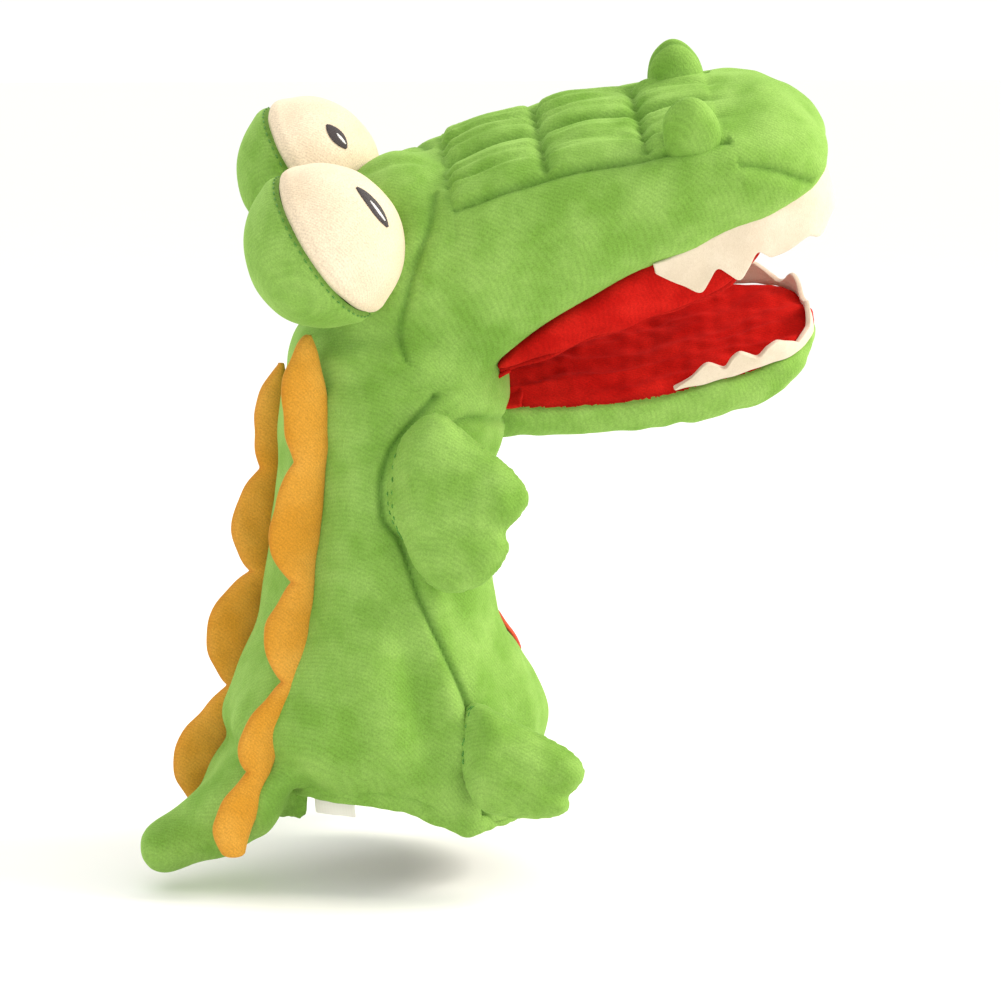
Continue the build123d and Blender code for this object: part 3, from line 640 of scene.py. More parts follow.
@dataclass(frozen=True)
class Plain:
    """Moulded or painted stock with a faint mottle, for boards and the studio."""

    name: str
    body: str
    mottle: str
    rough: float = 0.7

    def build(self) -> bpy.types.Material:
        """The material."""
        bench = Bench(self.name)
        place = bench.place(1.0)
        clouds = bench.add("TexNoise", {"Vector": (place, 0), "Scale": 0.02, "Detail": 4.0})
        colour = bench.add("Mix", {"Factor": (clouds, 0)}, data_type="RGBA")
        colour.inputs[6].default_value = linear(self.body)
        colour.inputs[7].default_value = linear(self.mottle)
        shader = bench.add("BsdfPrincipled", {"Base Color": (colour, 2), "Roughness": self.rough})
        return bench.output(shader)


class Cloth(Enum):
    """The finishes of the puppet, each named for the real material."""

    # each velour gives its own colour, then its painted highlight, its painted shade and its painted shade
    # down in a seam
    GREEN = Plush("green_velour", "7ba545", "a4ca6e", "62922e", "35651c")
    ORANGE = Plush(
        "orange_velour", "d3962f", "e6b25c", "bd7c20", "a95f10", rib=0.7, patch=22.0, nap=0.3, depth=0.2
    )
    RED = Plush(
        "mouth_velour_red",
        "c01712",
        "d62c22",
        "8c0a07",
        "2e0202",
        rib=0.8,
        patch=14.0,
        depth=0.25,
        sheen=0.02,
        shine=0.05,
    )
    CREAM = Plush(
        "cream_velour", "e4d2b6", "eee0c8", "d6c1a2", "9aa07a", rib=0.7, patch=20.0, nap=0.3, depth=0.15
    )
    TOOTH = Felt("tooth_felt", "cfbfa8", "ddcfba")
    PATCH = Felt("patch_felt", "c23a22", "d9593c")
    LINING = Woven("lining_cotton", "e9e6da", "c4c0b2")
    LABEL = Woven("woven_tape", "f6f4ee", "dcd9d0", thread=0.4)
    GREEN_THREAD = Thread("green_thread", "3c7a1c", "5b9c33")
    PUPIL_THREAD = Thread("pupil_thread", "241c1e", "4a3f40")
    GLINT_THREAD = Thread("glint_thread", "f5f3ee", "ffffff")
    BOARD = Plain("stiff_board", "d8d6cf", "c9c6bd")
    PAPER = Plain("backdrop_paper", "fdfdfb", "fbfaf8", rough=1.0)

    @property
    def material(self) -> bpy.types.Material:
        """The finish's material, built the first time it is asked for."""
        return bpy.data.materials.get(self.value.name) or self.value.build()


def dress(obj: Object, cloth: Cloth) -> Object:
    """Gives an object one finish."""
    obj.data.materials.clear()
    obj.data.materials.append(cloth.material)
    return obj


@dataclass
class Stitching:
    """A line of small stitches lying in a seam."""

    length: float = 1.9
    pitch: float = 3.1
    radius: float = 0.26
    sides: int = 6

    def one(self) -> tuple[np.ndarray, list[list[int]]]:
        """One stitch along X: a thread that dips at both ends."""
        stations = np.linspace(-0.5, 0.5, 5)
        rings = []
        for t in stations:
            girth = self.radius * math.sqrt(max(1 - (2 * t) ** 4, 0.05))
            ring = oval(girth, girth, 2, self.sides)
            height = self.radius * (0.9 - 5 * t * t)
            rings.append(np.c_[np.full(self.sides, t * self.length), ring[:, 0], ring[:, 1] + height])
        return np.array(rings).reshape(-1, 3), grid_faces(len(stations), self.sides)

    def sew(
        self, name: str, lines: Sequence[np.ndarray], tree: BVHTree, cloth: Cloth = Cloth.GREEN_THREAD
    ) -> Object:
        """Sews along lines laid on a surface.

        Args:
            name: the new piece's name.
            lines: lines of places near the surface, in millimetres.
            tree: the surface.
            cloth: the thread.

        Returns:
            One object with all the stitches.
        """
        base, faces = self.one()
        points, quads = [], []
        for line in lines:
            spots = even([tuple(p) for p in line], self.pitch)
            found, facing = onto(tree, spots)
            for i in range(len(found) - 1):
                way = found[i + 1] - found[i]
                way = way / max(np.linalg.norm(way), 1e-6)
                up = facing[i] - way * (facing[i] @ way)
                up = up / max(np.linalg.norm(up), 1e-6)
                turned = base @ np.array([way, np.cross(up, way), up])
                start = len(points) * len(base)
                points.append(turned + (found[i] + found[i + 1]) / 2)
                quads += [[start + v for v in face] for face in faces]
        obj = make(name, np.vstack(points), quads)
        return dress(shade(obj), cloth)


# ---------------------------------------------------------------- the green skin


@dataclass(frozen=True)
class Fold:
    """A soft ridge or dent in the cloth, along a line on the puppet's right side."""

    line: tuple[Row, ...]
    height: float  # below zero for a dent
    width: float


@dataclass
class GreenSkin:
    """The green velour of the torso, neck and head, shaped as one hollow and cut into its sewn pieces."""

    voxel: float = 1.9
    hem_level: float = 3.0
    neck_cut: float = 122.5  # along the neck's own axis
    tail_cut: float = 27.0  # along the tail, where its own piece starts
    # height, middle, half depth and half width of the torso
    torso_rows: tuple[Row, ...] = (
        (-8.0, 0.0, 43.0, 43.0),
        (4.5, 0.0, 45.5, 44.5),
        (18.0, -3.0, 53.0, 47.0),
        (32.0, -3.5, 57.0, 48.0),
        (50.0, -3.5, 48.5, 46.5),
        (72.0, -5.5, 39.0, 44.0),
        (97.0, -5.0, 36.0, 42.0),
        (112.0, -3.5, 36.0, 41.0),
        (125.0, -2.0, 37.0, 41.0),
        (140.0, 0.0, 38.0, 41.0),
        (156.0, 1.5, 37.5, 38.5),
        (166.0, 1.0, 34.0, 34.0),
        (172.0, 0.0, 27.0, 27.0),
    )
    # place along the snout, half width, lip height and top height of the head
    head_rows: tuple[Row, ...] = (
        (-47.0, 16.0, 4.0, 44.0),
        (-42.0, 26.0, -4.0, 54.0),
        (-33.0, 33.0, -10.0, 62.0),
        (-20.0, 37.0, -11.0, 67.5),
        (-8.0, 38.3, -3.0, 69.0),
        (0.0, 38.3, 4.0, 68.0),
        (10.0, 38.2, 9.5, 68.0),
        (25.0, 37.8, 15.2, 68.8),
        (47.0, 37.0, 20.8, 68.0),
        (72.0, 36.0, 24.6, 64.0),
        (94.0, 33.8, 27.4, 62.0),
        (110.0, 30.0, 27.8, 58.0),
        (120.0, 24.0, 28.8, 52.5),
        (126.0, 17.0, 31.5, 47.0),
        (129.0, 9.0, 34.5, 42.5),
        (130.0, 3.0, 37.0, 40.0),
    )
    # distance along the tail, half width and half depth
    tail_rows: tuple[Row, ...] = (
        (-6.0, 24.0, 12.0),
        (4.0, 29.0, 15.0),
        (12.0, 27.0, 14.5),
        (20.0, 21.5, 13.0),
        (28.0, 15.5, 11.5),
        (38.0, 11.5, 10.0),
        (48.0, 10.0, 9.0),
        (53.0, 7.0, 6.5),
        (55.5, 2.5, 2.5),
    )
    # place front to back, and how far the hem is above its level there
    hem_rows: tuple[Row, ...] = (
        (-62, 7),
        (-50, 8.5),
        (-40, 9.5),
        (-24, 9),
        (-11, 6.5),
        (3, 0.5),
        (14, -4),
        (24, -3),
        (60, -1),
    )
    side_seam: tuple[Row, ...] = (
        (2, 146),
        (-8, 136),
        (-14, 128),
        (-17, 116),
        (-16.5, 106),
        (-11.5, 99),
        (-5, 79),
        (2.5, 59),
        (9, 44),
        (15, 22),
        (20, 0),
    )
    rear_seam: tuple[Row, ...] = (
        (6, 72),
        (-1.5, 66),
        (-11, 56),
        (-19, 44),
        (-25.5, 31),
        (-25.5, 19),
        (-21, 4),
    )
    throat_seam: tuple[Row, ...] = ((-21, 4), (-14, 2.5), (-8, -3), (-4, -11), (-2.5, -20), (-2, -34))
    top_seam: tuple[Row, ...] = (
        (6, 72),
        (17, 67.5),
        (33, 69.5),
        (41, 69.5),
        (56, 66),
        (77, 63),
        (93, 55.5),
        (109, 46),
        (119, 34.5),
    )
    fold_lines: tuple[Fold, ...] = (
        Fold(((-2, -40, 96), (-1, -44, 70), (3, -46, 46), (9, -47, 26)), 2.6, 6.0),
        Fold(((-12, -40, 96), (-12, -43, 74), (-6, -46, 48), (-2, -47, 30)), -2.2, 5.5),
        Fold(((-20, -38, 128), (-10, -40, 141), (4, -38, 150)), -1.6, 4.0),
        Fold(((-36, -18, 150), (-18, -36, 152), (0, -40, 147)), -1.3, 4.5),
        Fold(((-32, -22, 158), (-16, -34, 160), (-4, -38, 156)), 1.2, 4.0),
        Fold(((-42, -24, 10), (-30, -36, 24), (-22, -42, 40)), -1.4, 6.0),
        Fold(((12, -46, 14), (4, -47, 34)), -1.5, 4.0),
    )
    pinches: tuple[float, ...] = (5.0, 38.0, 71.0, 96.0)
    panel_half: float = 24.0
    puff: float = 3.4
    seam_width: float = 1.1
    seam_depth: float = 1.7

    @property
    def tail_start(self) -> np.ndarray:
        """Where the tail leaves the torso."""
        return np.array([-44.0, 0.0, 14.0])

    @property
    def tail_way(self) -> np.ndarray:
        """The tail's direction."""
        droop = math.radians(35)
        return np.array([-math.cos(droop), 0.0, -math.sin(droop)])

    def hem_shift(self, x: np.ndarray) -> np.ndarray:
        """How far the hem rises or dips from level at a place front to back."""
        return along(self.hem_rows, x)[:, 0]

    def torso_solid(self) -> Object:
        """The torso and neck, closed at both ends."""
        heights = np.linspace(self.torso_rows[0][0], self.torso_rows[-1][0], 90)
        rings = []
        for z, (x, deep, wide) in zip(heights, along(self.torso_rows, heights)):
            ring = oval(deep, wide, 2.15, 120)
            rings.append(np.c_[ring[:, 0] + x, ring[:, 1], np.full(len(ring), z)])
        return loft("torso_form", np.array(rings))

    def head_solid(self) -> Object:
        """The head and upper jaw, closed all round."""
        stations = np.r_[np.linspace(-47, 118, 90), np.linspace(119, 130, 14)]
        rings = []
        for x, (wide, lip, top) in zip(stations, along(self.head_rows, stations)):
            middle = lip + 0.42 * (top - lip)
            upper = oval(wide, top - middle, 2.9, 140)
            lower = oval(wide, middle - lip, 5.0, 140)
            ring = np.where(upper[:, 1:] >= 0, upper, lower)
            rings.append(HEAD.out(np.c_[np.full(len(ring), x), ring[:, 0], ring[:, 1] + middle]))
        return loft("head_form", np.array(rings))

    def lump(self, centre: Row, size: Row, on_head: bool = True) -> Object:
        """A filled bump inside the skin, such as the brow."""
        bpy.ops.mesh.primitive_uv_sphere_add(segments=40, ring_count=24, radius=METRES)
        ball = bpy.context.active_object
        points = places(ball) * np.array(size) + np.array(centre)
        move(ball, HEAD.out(points) if on_head else points)
        return ball

    def tail_solid(self) -> Object:
        """The tail, closed at both ends, bending level near its tip."""
        stations = np.linspace(self.tail_rows[0][0], self.tail_rows[-1][0], 50)
        up = np.cross(np.array([0.0, 1.0, 0.0]), self.tail_way)
        rings = []
        for far, (wide, deep) in zip(stations, along(self.tail_rows, stations)):
            ring = oval(wide, deep, 2.1, 60)
            middle = self.tail_start + self.tail_way * far + np.array([0, 0, 3.0]) * smooth(far, 30, 56)
            rings.append(middle + ring[:, :1] * np.array([0.0, 1.0, 0.0]) + ring[:, 1:] * up)
        return loft("tail_form", np.array(rings))

    def build(self) -> dict[str, Object]:
        """Shapes, creases and cuts the skin.

        Returns:
            Each sewn piece by name.
        """
        whole = join(
            [
                self.torso_solid(),
                self.head_solid(),
                self.tail_solid(),
                self.lump((-14.0, 0.0, 60.0), (19.0, 21.0, 15.5)),
                self.lump((-24.0, 0.0, -6.0), (17.0, 34.0, 24.0)),
                self.lump((-33.0, 0.0, 30.0), (20.0, 37.0, 30.0)),
            ]
        )
        modify(whole, "REMESH", mode="VOXEL", voxel_size=self.voxel * METRES)
        modify(whole, "SMOOTH", factor=0.5, iterations=7)
        self.open_hem(whole)
        subdivide(whole)
        self.crease(whole)
        self.bend_hem(whole)
        return self.cut(whole)

    def open_hem(self, whole: Object) -> None:
        """Cuts the torso open at its hem."""
        choose(whole)
        bpy.ops.object.mode_set(mode="EDIT")
        bpy.ops.mesh.select_all(action="SELECT")
        bpy.ops.mesh.delete_loose()
        bpy.ops.object.mode_set(mode="OBJECT")
        points = places(whole)
        beyond = (points - self.tail_start) @ self.tail_way > 6
        low = (points[:, 2] < self.hem_level) & ~beyond
        shell = bmesh.new()
        shell.from_mesh(whole.data)
        shell.verts.ensure_lookup_table()
        bmesh.ops.delete(shell, geom=[shell.verts[i] for i in np.nonzero(low)[0]], context="VERTS")
        for vert in shell.verts:
            if vert.is_boundary:
                vert.co.z = self.hem_level * METRES
        for _ in range(6):
            ends = {v: v.co.copy() for v in shell.verts if v.is_boundary}
            for vert in ends:
                pair = [e.other_vert(vert) for e in vert.link_edges if e.is_boundary]
                if len(pair) == 2:
                    vert.co = vert.co * 0.5 + (ends[pair[0]] + ends[pair[1]]) * 0.25
        shell.to_mesh(whole.data)
        shell.free()

    def bend_hem(self, whole: Object) -> None:
        """Lifts the hem over the arm and lets it dip in front."""
        points = places(whole)
        beyond = smooth((points - self.tail_start) @ self.tail_way, 4, 18)
        fall = np.exp(-np.clip(points[:, 2] - self.hem_level, 0, None) / 13) * (1 - beyond)
        points[:, 2] += self.hem_shift(points[:, 0]) * fall * (points[:, 2] < 60)
        move(whole, points)

    def crease(self, whole: Object) -> None:
        """Sinks the seams, puffs the quilted panel and gives the cloth its folds, with painted shade in the
        seams.
        """
        points = places(whole)
        facing = normals(whole)
        local = HEAD.local(points)
        turned = facing @ HEAD.axes
        on_head = smooth(points @ NECK_AXIS, 138, 150)
        seam = np.zeros(len(points))
        height = np.zeros(len(points))
        flank = np.abs(local[:, 1]) > 14
        for line, mask in (
            (self.rear_seam, flank & (on_head > 0)),
            (self.throat_seam, flank & (local[:, 2] < 8)),
            (self.top_seam, flank & (local[:, 2] > 25) & (local[:, 0] > 5) & (turned[:, 2] > -0.3)),
        ):
            away = distance_to_line(local[:, [0, 2]], even(line, 2.0))
            if line is self.top_seam:
                away = np.where(local[:, 0] < 98, np.abs(np.abs(local[:, 1]) - self.panel_half), away)
            groove = np.where(mask, np.exp(-((away / self.seam_width) ** 2)), 0)
            pillow = np.where(mask, np.exp(-(((away - 4.5) / 3.0) ** 2)), 0)
            seam = np.maximum(seam, 0.6 * groove)
            height += 0.6 * pillow - 0.7 * self.seam_depth * groove
        side = distance_to_line(points[:, [0, 2]], even(self.side_seam, 2.0))
        on_side = (np.abs(points[:, 1]) > 22) & (points[:, 2] < 148)
        groove = np.where(on_side, np.exp(-((side / self.seam_width) ** 2)), 0)
        pillow = np.where(on_side, np.exp(-(((side - 6) / 4.5) ** 2)), 0)
        seam = np.maximum(seam, groove)
        height += 1.1 * pillow - self.seam_depth * groove
        quilt, stitched = self.quilt(local, turned)
        height += quilt
        seam = np.maximum(seam, stitched)
        height += self.folds(points, local)
        # the seam mark is painted shade in the sunk seams and the quilt's pinches
        mark(whole, "seam", seam)
        push(whole, height)

    def quilt(self, local: np.ndarray, turned: np.ndarray) -> tuple[np.ndarray, np.ndarray]:
        """The padded, gathered panel along the snout's top: its height, and how much painted shade its seams
        and pinches get.
        """
        x, y = local[:, 0], local[:, 1]
        inside = (turned[:, 2] > 0.15) & (local[:, 2] > 44) & (np.abs(y) < self.panel_half + 4)
        across = np.clip(np.abs(y) / self.panel_half, 0, 1)
        row = np.sqrt(np.clip(4 * across * (1 - across), 0, 1))
        height = np.zeros(len(x))
        seam = np.zeros(len(x))
        ends = self.pinches
        for start, end in zip(ends[:-1], ends[1:]):
            t = np.clip((x - start) / (end - start), 0, 1)
            swell = np.sqrt(np.clip(4 * t * (1 - t), 0, 1))
            size = self.puff * (1.0 if end < 90 else 0.6)
            height += np.where((x > start) & (x <= end), size * (row * swell) ** 0.8, 0)
        for index, place in enumerate(ends[:3]):
            near = np.exp(-np.abs(x - place) / 7.5)
            gather = np.cos(y * 2 * math.pi / 5.2 + 1.3 * index) + 0.5 * np.cos(y * 2 * math.pi / 3.1 + index)
            height += 0.95 * near * gather * row
            pinch = np.exp(-(((x - place) / 2.2) ** 2)) * (1 - smooth(np.abs(y), 21, 25))
            height -= 1.9 * pinch
            seam = np.maximum(seam, 0.3 * pinch)
        span = smooth(x, 2, 8) * (1 - smooth(x, 92, 104))
        middle = np.exp(-((y / 1.3) ** 2)) * span
        fold = np.exp(-(((np.abs(y) - 12.5 - 1.5 * np.sin(x / 9)) / 1.6) ** 2)) * span
        height = height * span - 1.6 * middle - 1.3 * fold
        seam = np.maximum(seam * span, 0.35 * middle)
        return np.where(inside, height, 0), np.where(inside, seam, 0)

    def folds(self, points: np.ndarray, local: np.ndarray) -> np.ndarray:
        """Loose folds and unevenness of the cloth, in millimetres of height."""
        height = 0.55 * waves(points, 34, 3) + 0.22 * waves(points, 13, 5)
        low = 1 - smooth(points[:, 2], 118, 150)
        drape = waves(points * np.array([1.0, 1.0, 0.35]), 26, 11)
        height += 0.9 * drape * low
        for fold in self.fold_lines:
            for mirror, share in ((1, 1.0), (-1, 0.7)):
                path = np.array(fold.line, float) * np.array([1, mirror, 1])
                away = distance_to_line(points, path)
                height += fold.height * share * np.exp(-((away / fold.width) ** 2))
        brow = distance_to_line(local, np.array([(-20, 0, 76), (-12, 0, 77), (-2, 0, 72)], float))
        height -= 1.2 * np.exp(-((brow / 2.2) ** 2))
        dart = distance_to_line(local, np.array([(-17, -34, 52), (-9, -32, 60), (0, -26, 68)], float))
        height -= 1.1 * np.exp(-((dart / 1.8) ** 2))
        return height

    @staticmethod
    def across_seam(seam: Sequence[Row], z: np.ndarray) -> np.ndarray:
        """Where a seam that falls steadily is, front to back, at each height."""
        rising = seam[::-1]
        return np.interp(z, [spot[1] for spot in rising], [spot[0] for spot in rising])

    def cut(self, whole: Object) -> dict[str, Object]:
        """Cuts the skin along its seams."""
        points = places(whole)
        middle = points[quads_of(whole)].mean(1)
        local = HEAD.local(middle)
        up_neck = middle @ NECK_AXIS
        down_tail = (middle - self.tail_start) @ self.tail_way
        seam_x = self.across_seam(self.rear_seam, local[:, 2])
        throat_x = self.across_seam(self.throat_seam, local[:, 2])
        ahead = local[:, 0] > np.where(local[:, 2] < 4, throat_x, seam_x)
        top_z = np.interp(local[:, 0], [x for x, _ in self.top_seam], [z for _, z in self.top_seam])
        on_top = ahead & (np.abs(local[:, 1]) < self.panel_half) & (local[:, 2] > np.minimum(top_z - 7, 50))
        front = ahead & (local[:, 0] > 100) & (local[:, 2] > top_z)
        body_seam_x = self.across_seam(self.side_seam, middle[:, 2])
        labels = np.where(middle[:, 0] > body_seam_x, 1, 0)
        labels[down_tail > self.tail_cut] = 2
        labels[up_neck > self.neck_cut] = 3
        labels[(labels == 3) & ahead & (local[:, 1] > 0)] = 4
        labels[(labels == 3) & ahead & (local[:, 1] <= 0)] = 5
        labels[(up_neck > self.neck_cut) & (on_top | front)] = 6
        names = (
            "back_cloth",
            "belly_cloth",
            "tail_cloth",
            "neck_and_nape_cloth",
            "cheek_cloth_left",
            "cheek_cloth_right",
            "quilted_snout_cloth",
        )
        return dict(zip(names, split(whole, labels, names)))


# ---------------------------------------------------------------- soft pieces


@dataclass
class Pillow:
    """A flat shape of two cloths, stuffed: thick in the middle and pinched along its edge."""

    half: float = 9.0
    grid: float = 1.3

    def shape(self, name: str, outline: Sequence[Row], notch: Row | None = None) -> Object:
        """Fills an outline, swells it and rounds it.

        Args:
            name: the new piece's name.
            outline: its edge in the shape's own plane, in millimetres.
            notch: where a short crease starts inside the edge, if it has one.

        Returns:
            The stuffed shape, standing in the XZ plane with its thickness along Y.
        """
        edge = self.closed(outline)
        low, high = edge.min(0) - 2, edge.max(0) + 2
        count = np.ceil((high - low) / self.grid).astype(int)
        xs = low[0] + self.grid * np.arange(count[0] + 1)
        zs = low[1] + self.grid * np.arange(count[1] + 1)
        spots = np.array([(x, z) for x in xs for z in zs])
        inside = self.within(spots, edge)
        depth = np.where(inside, distance_to_line(spots, np.vstack([edge, edge[:1]])), 0)
        reach = depth.max()
        if notch is not None:
            near = distance_to_line(spots, np.array([notch, self.nearest(edge, notch)]))
            depth = np.minimum(depth, 0.25 * reach + near * 1.2)
        share = np.clip(depth / (reach * 0.95), 0, 1)
        thick = self.half * np.sqrt(np.clip(1 - (1 - share) ** 2.2, 0, 1))
        thick = thick.reshape(len(xs), len(zs))
        return self.skin(name, xs, zs, thick, inside.reshape(thick.shape), edge)

    @staticmethod
    def closed(outline: Sequence[Row]) -> np.ndarray:
        """An outline rounded between its points, evenly divided."""
        corners = np.array(outline, float)
        count = len(corners)
        points = []
        for i in range(count):
            a, b, c, d = (corners[(i + k) % count] for k in (-1, 0, 1, 2))
            for t in np.linspace(0, 1, 8, endpoint=False):
                square = (2 * a - 5 * b + 4 * c - d) * t**2
                cube = (3 * b - a - 3 * c + d) * t**3
                points.append(0.5 * (2 * b + (c - a) * t + square + cube))
        return np.array(points)

    @staticmethod
    def nearest(edge: np.ndarray, spot: Row) -> np.ndarray:
        """The edge's nearest place to a spot."""
        return edge[np.argmin(np.linalg.norm(edge - np.array(spot), axis=1))]

    @staticmethod
    def within(spots: np.ndarray, edge: np.ndarray) -> np.ndarray:
        """Whether each spot is inside the edge."""
        inside = np.zeros(len(spots), bool)
        for a, b in zip(edge, np.roll(edge, -1, axis=0)):
            crossing = (a[1] > spots[:, 1]) != (b[1] > spots[:, 1])
            run = b[1] - a[1] if abs(b[1] - a[1]) > 1e-9 else 1e-9
            inside ^= crossing & (spots[:, 0] < (b[0] - a[0]) * (spots[:, 1] - a[1]) / run + a[0])
        return inside

    def skin(
        self,
        name: str,
        xs: np.ndarray,
        zs: np.ndarray,
        thick: np.ndarray,
        inside: np.ndarray,
        edge: np.ndarray,
    ) -> Object:
        """Both faces of the shape over a grid, its rim drawn out to the edge."""
        cells = inside[:-1, :-1] | inside[1:, :-1] | inside[:-1, 1:] | inside[1:, 1:]
        used = np.zeros(inside.shape, bool)
        for di in (0, 1):
            for dj in (0, 1):
                used[di : di + cells.shape[0], dj : dj + cells.shape[1]] |= cells
        front = -np.ones(used.shape, int)
        points, faces = [], []
        for i, j in zip(*np.nonzero(used)):
            front[i, j] = len(points)
            spot = np.array([xs[i], zs[j]])
            if not inside[i, j]:
                spot = self.nearest(edge, spot)
            points.append((spot[0], -thick[i, j], spot[1]))
        back = front.copy()
        for i, j in zip(*np.nonzero(used & inside)):
            back[i, j] = len(points)
            points.append((xs[i], thick[i, j], zs[j]))
        for i, j in zip(*np.nonzero(cells)):
            faces.append([front[i, j], front[i + 1, j], front[i + 1, j + 1], front[i, j + 1]])
            faces.append([back[i, j], back[i, j + 1], back[i + 1, j + 1], back[i + 1, j]])
        obj = make(name, np.array(points), faces)
        outwards(obj)
        modify(obj, "SMOOTH", factor=0.5, iterations=3)
        subdivide(obj)
        rim = distance_to_line(places(obj)[:, [0, 2]], np.vstack([edge, edge[:1]]))
        flat = np.exp(-((rim / 1.6) ** 2)) * (np.abs(places(obj)[:, 1]) < 1.6)
        # painted shade along the sewn rim, where the two cloths meet
        mark(obj, "seam", 0.25 * flat)
        return shade(obj)


@dataclass
class Fins:
    """The orange crest down the back: a row of soft lobes between two cloths."""

    half: float = 3.6
    span: float = 24.0  # from the middle of the back to either row
    sunk: float = 1.0  # how far its root lies in the back's seam
    base: tuple[Row, ...] = (
        (-37, 166),
        (-33.5, 154.5),
        (-31, 140),
        (-31, 130),
        (-32.5, 119),
        (-34, 102),
        (-36, 87.6),
        (-38, 63),
        (-41, 49),
        (-46.5, 33),
        (-53.5, 18),
        (-59, 2),
        (-62, -8),
    )
    tips: tuple[Row, ...] = ((-47, 143), (-52, 101), (-54, 65), (-62.5, 31.5), (-72, 4))
    far_tips: tuple[Row, ...] = ((-43, 134), (-51, 98), (-60.5, 61), (-72, 20))
    far_troughs: tuple[Row, ...] = ((-32.6, 153), (-41, 116), (-45, 80), (-53.5, 40), (-63, -5))
    troughs: tuple[Row, ...] = ((-37.4, 167), (-43, 124), (-44, 83.7), (-47.5, 50), (-60, 20), (-66, -10))

    def height(self, z: np.ndarray, side: Side) -> np.ndarray:
        """How far the crest stands out at each height of the back."""
        spots = self.tips + self.troughs if side is Side.RIGHT else self.far_tips + self.far_troughs
        rows = sorted(spots, key=lambda spot: spot[1])
        heights = [spot[1] for spot in rows]
        stand = [along([(b, a) for a, b in self.base[::-1]], [h])[0, 0] - x for x, h in rows]
        index = np.clip(np.searchsorted(heights, z) - 1, 0, len(rows) - 2)
        a, b = np.array(heights)[index], np.array(heights)[index + 1]
        t = np.clip((z - a) / (b - a), 0, 1)
        low, high = np.array(stand)[index], np.array(stand)[index + 1]
        rising = high > low  # from a trough up to a tip
        share = np.where(rising, np.sin(t * math.pi / 2) ** 0.85, 1 - np.sin((1 - t) * math.pi / 2) ** 0.85)
        return np.where(rising, low + (high - low) * share, high + (low - high) * (1 - share))

    def build(self, side: Side) -> Object:
        """One row of the crest."""
        heights = np.linspace(166.5, -8, 330) if side is Side.RIGHT else np.linspace(152.5, -4.5, 300)
        base = along([(z0, x0) for x0, z0 in self.base[::-1]], heights)[:, 0]
        stand = np.maximum(self.height(heights, side), 1.0)
        lean = 0.06 * side.value
        rings = []
        for x, z, tall in zip(base, heights, stand):
            across = np.linspace(0, 1, 13)
            swell = np.sqrt(np.clip((1 - (1 - across) ** 3) * (1 - across**3), 0, 1))
            half = self.half * swell * min(tall / 7, 1) ** 0.5
            half = np.maximum(half, 0.35)
            out = -self.sunk + (tall + self.sunk) * across  # backwards from the seam
            right = np.c_[x - out, side.value * self.span + out * lean - half, np.full(13, z)]
            left = np.c_[x - out, side.value * self.span + out * lean + half, np.full(13, z)]
            rings.append(np.vstack([right, left[::-1]]))
        obj = loft(f"crest_cloth_{side.word}", np.array(rings))
        modify(obj, "SMOOTH", factor=0.5, iterations=2)
        points = places(obj)
        out = np.interp(points[:, 2], heights[::-1], base[::-1]) - points[:, 0]
        tall = np.interp(points[:, 2], heights[::-1], stand[::-1])
        # painted shade along the sewn outer edge of the lobes
        mark(obj, "seam", 0.7 * np.exp(-(((tall - out) / 0.9) ** 2)))
        push(obj, 0.35 * waves(points, 14, 21 + side.value))
        outwards(obj)
        return dress(shade(obj), Cloth.ORANGE)


@dataclass
class Limb:
    """An arm or a leg: a flat stuffed paw sewn to the body by one edge."""

    word: str
    root: Row
    splay: float
    droop: float
    outline: tuple[Row, ...]
    notch: Row
    half: float = 9.0

    def build(self, side: Side) -> Object:
        """The limb on one side, with its thin root drawn in to the body."""
        paw = Pillow(half=self.half).shape(f"{self.word}_cloth_{side.word}", self.outline, self.notch)
        points = places(paw)
        swell = 0.5 * waves(points, 15, 31) + 0.3 * waves(points, 7, 33)
        points[:, 1] += swell * (np.abs(points[:, 1]) > 2)
        splay, droop = math.radians(self.splay), math.radians(self.droop)
        out = np.array([math.cos(splay) * math.cos(droop), side.value * math.sin(splay), -math.sin(droop)])
        out = out / np.linalg.norm(out)
        across = np.array([-math.sin(splay), side.value * math.cos(splay), 0.0])
        up = np.cross(out, across) * side.value
        inward = 3.6 * (1 - smooth(points[:, 0], -2, 9))
        root = np.array([self.root[0], side.value * self.root[1], self.root[2]])
        placed = root + points[:, :1] * out + (points[:, 1:2] - inward[:, None]) * across + points[:, 2:] * up
        move(paw, placed)
        outwards(paw)
        return dress(paw, Cloth.GREEN)

    def rear_line(self, side: Side, count: int = 7) -> np.ndarray:
        """The line on the body where the limb's edge is sewn down."""
        splay = math.radians(self.splay)
        out = np.array([math.cos(splay), side.value * math.sin(splay), 0.0])
        rear = [spot for spot in self.outline if spot[0] < 3.6][-count:]
        root = np.array([self.root[0], side.value * self.root[1], self.root[2]])
        return np.array([root + out * a + np.array([0, 0, b]) for a, b in rear])


ARM = Limb(
    "arm",
    (-14.0, 43.5, 119.0),
    30.0,
    0.0,
    (
        (0, 10),
        (4, 17),
        (11, 22.3),
        (17, 22.5),
        (24, 17),
        (31, 11.5),
        (38, 6.5),
        (43.5, 0.5),
        (45.5, -5.5),
        (42.5, -11),
        (37.6, -16.4),
        (39, -21.5),
        (36, -28),
        (30, -34),
        (22, -37.2),
        (14, -36.2),
        (7, -29.5),
        (2.2, -20),
        (-2.2, -13),
        (-3.6, -3),
    ),
    (29.0, -15.5),
)
LEG = Limb(
    "leg",
    (7.0, 50.0, 25.0),
    22.0,
    12.0,
    (
        (-2, 17),
        (3, 19.5),
        (10, 18),
        (26, 13.7),
        (36, 10.5),
        (42, 4.5),
        (40.5, -1.5),
        (38.2, -5),
        (39.4, -9),
        (35, -13),
        (27, -15.5),
        (18, -16.6),
        (10, -16),
        (4, -10.5),
        (0, -2),
        (-1.5, 7),
    ),
    (31.0, -3.0),
    8.5,
)


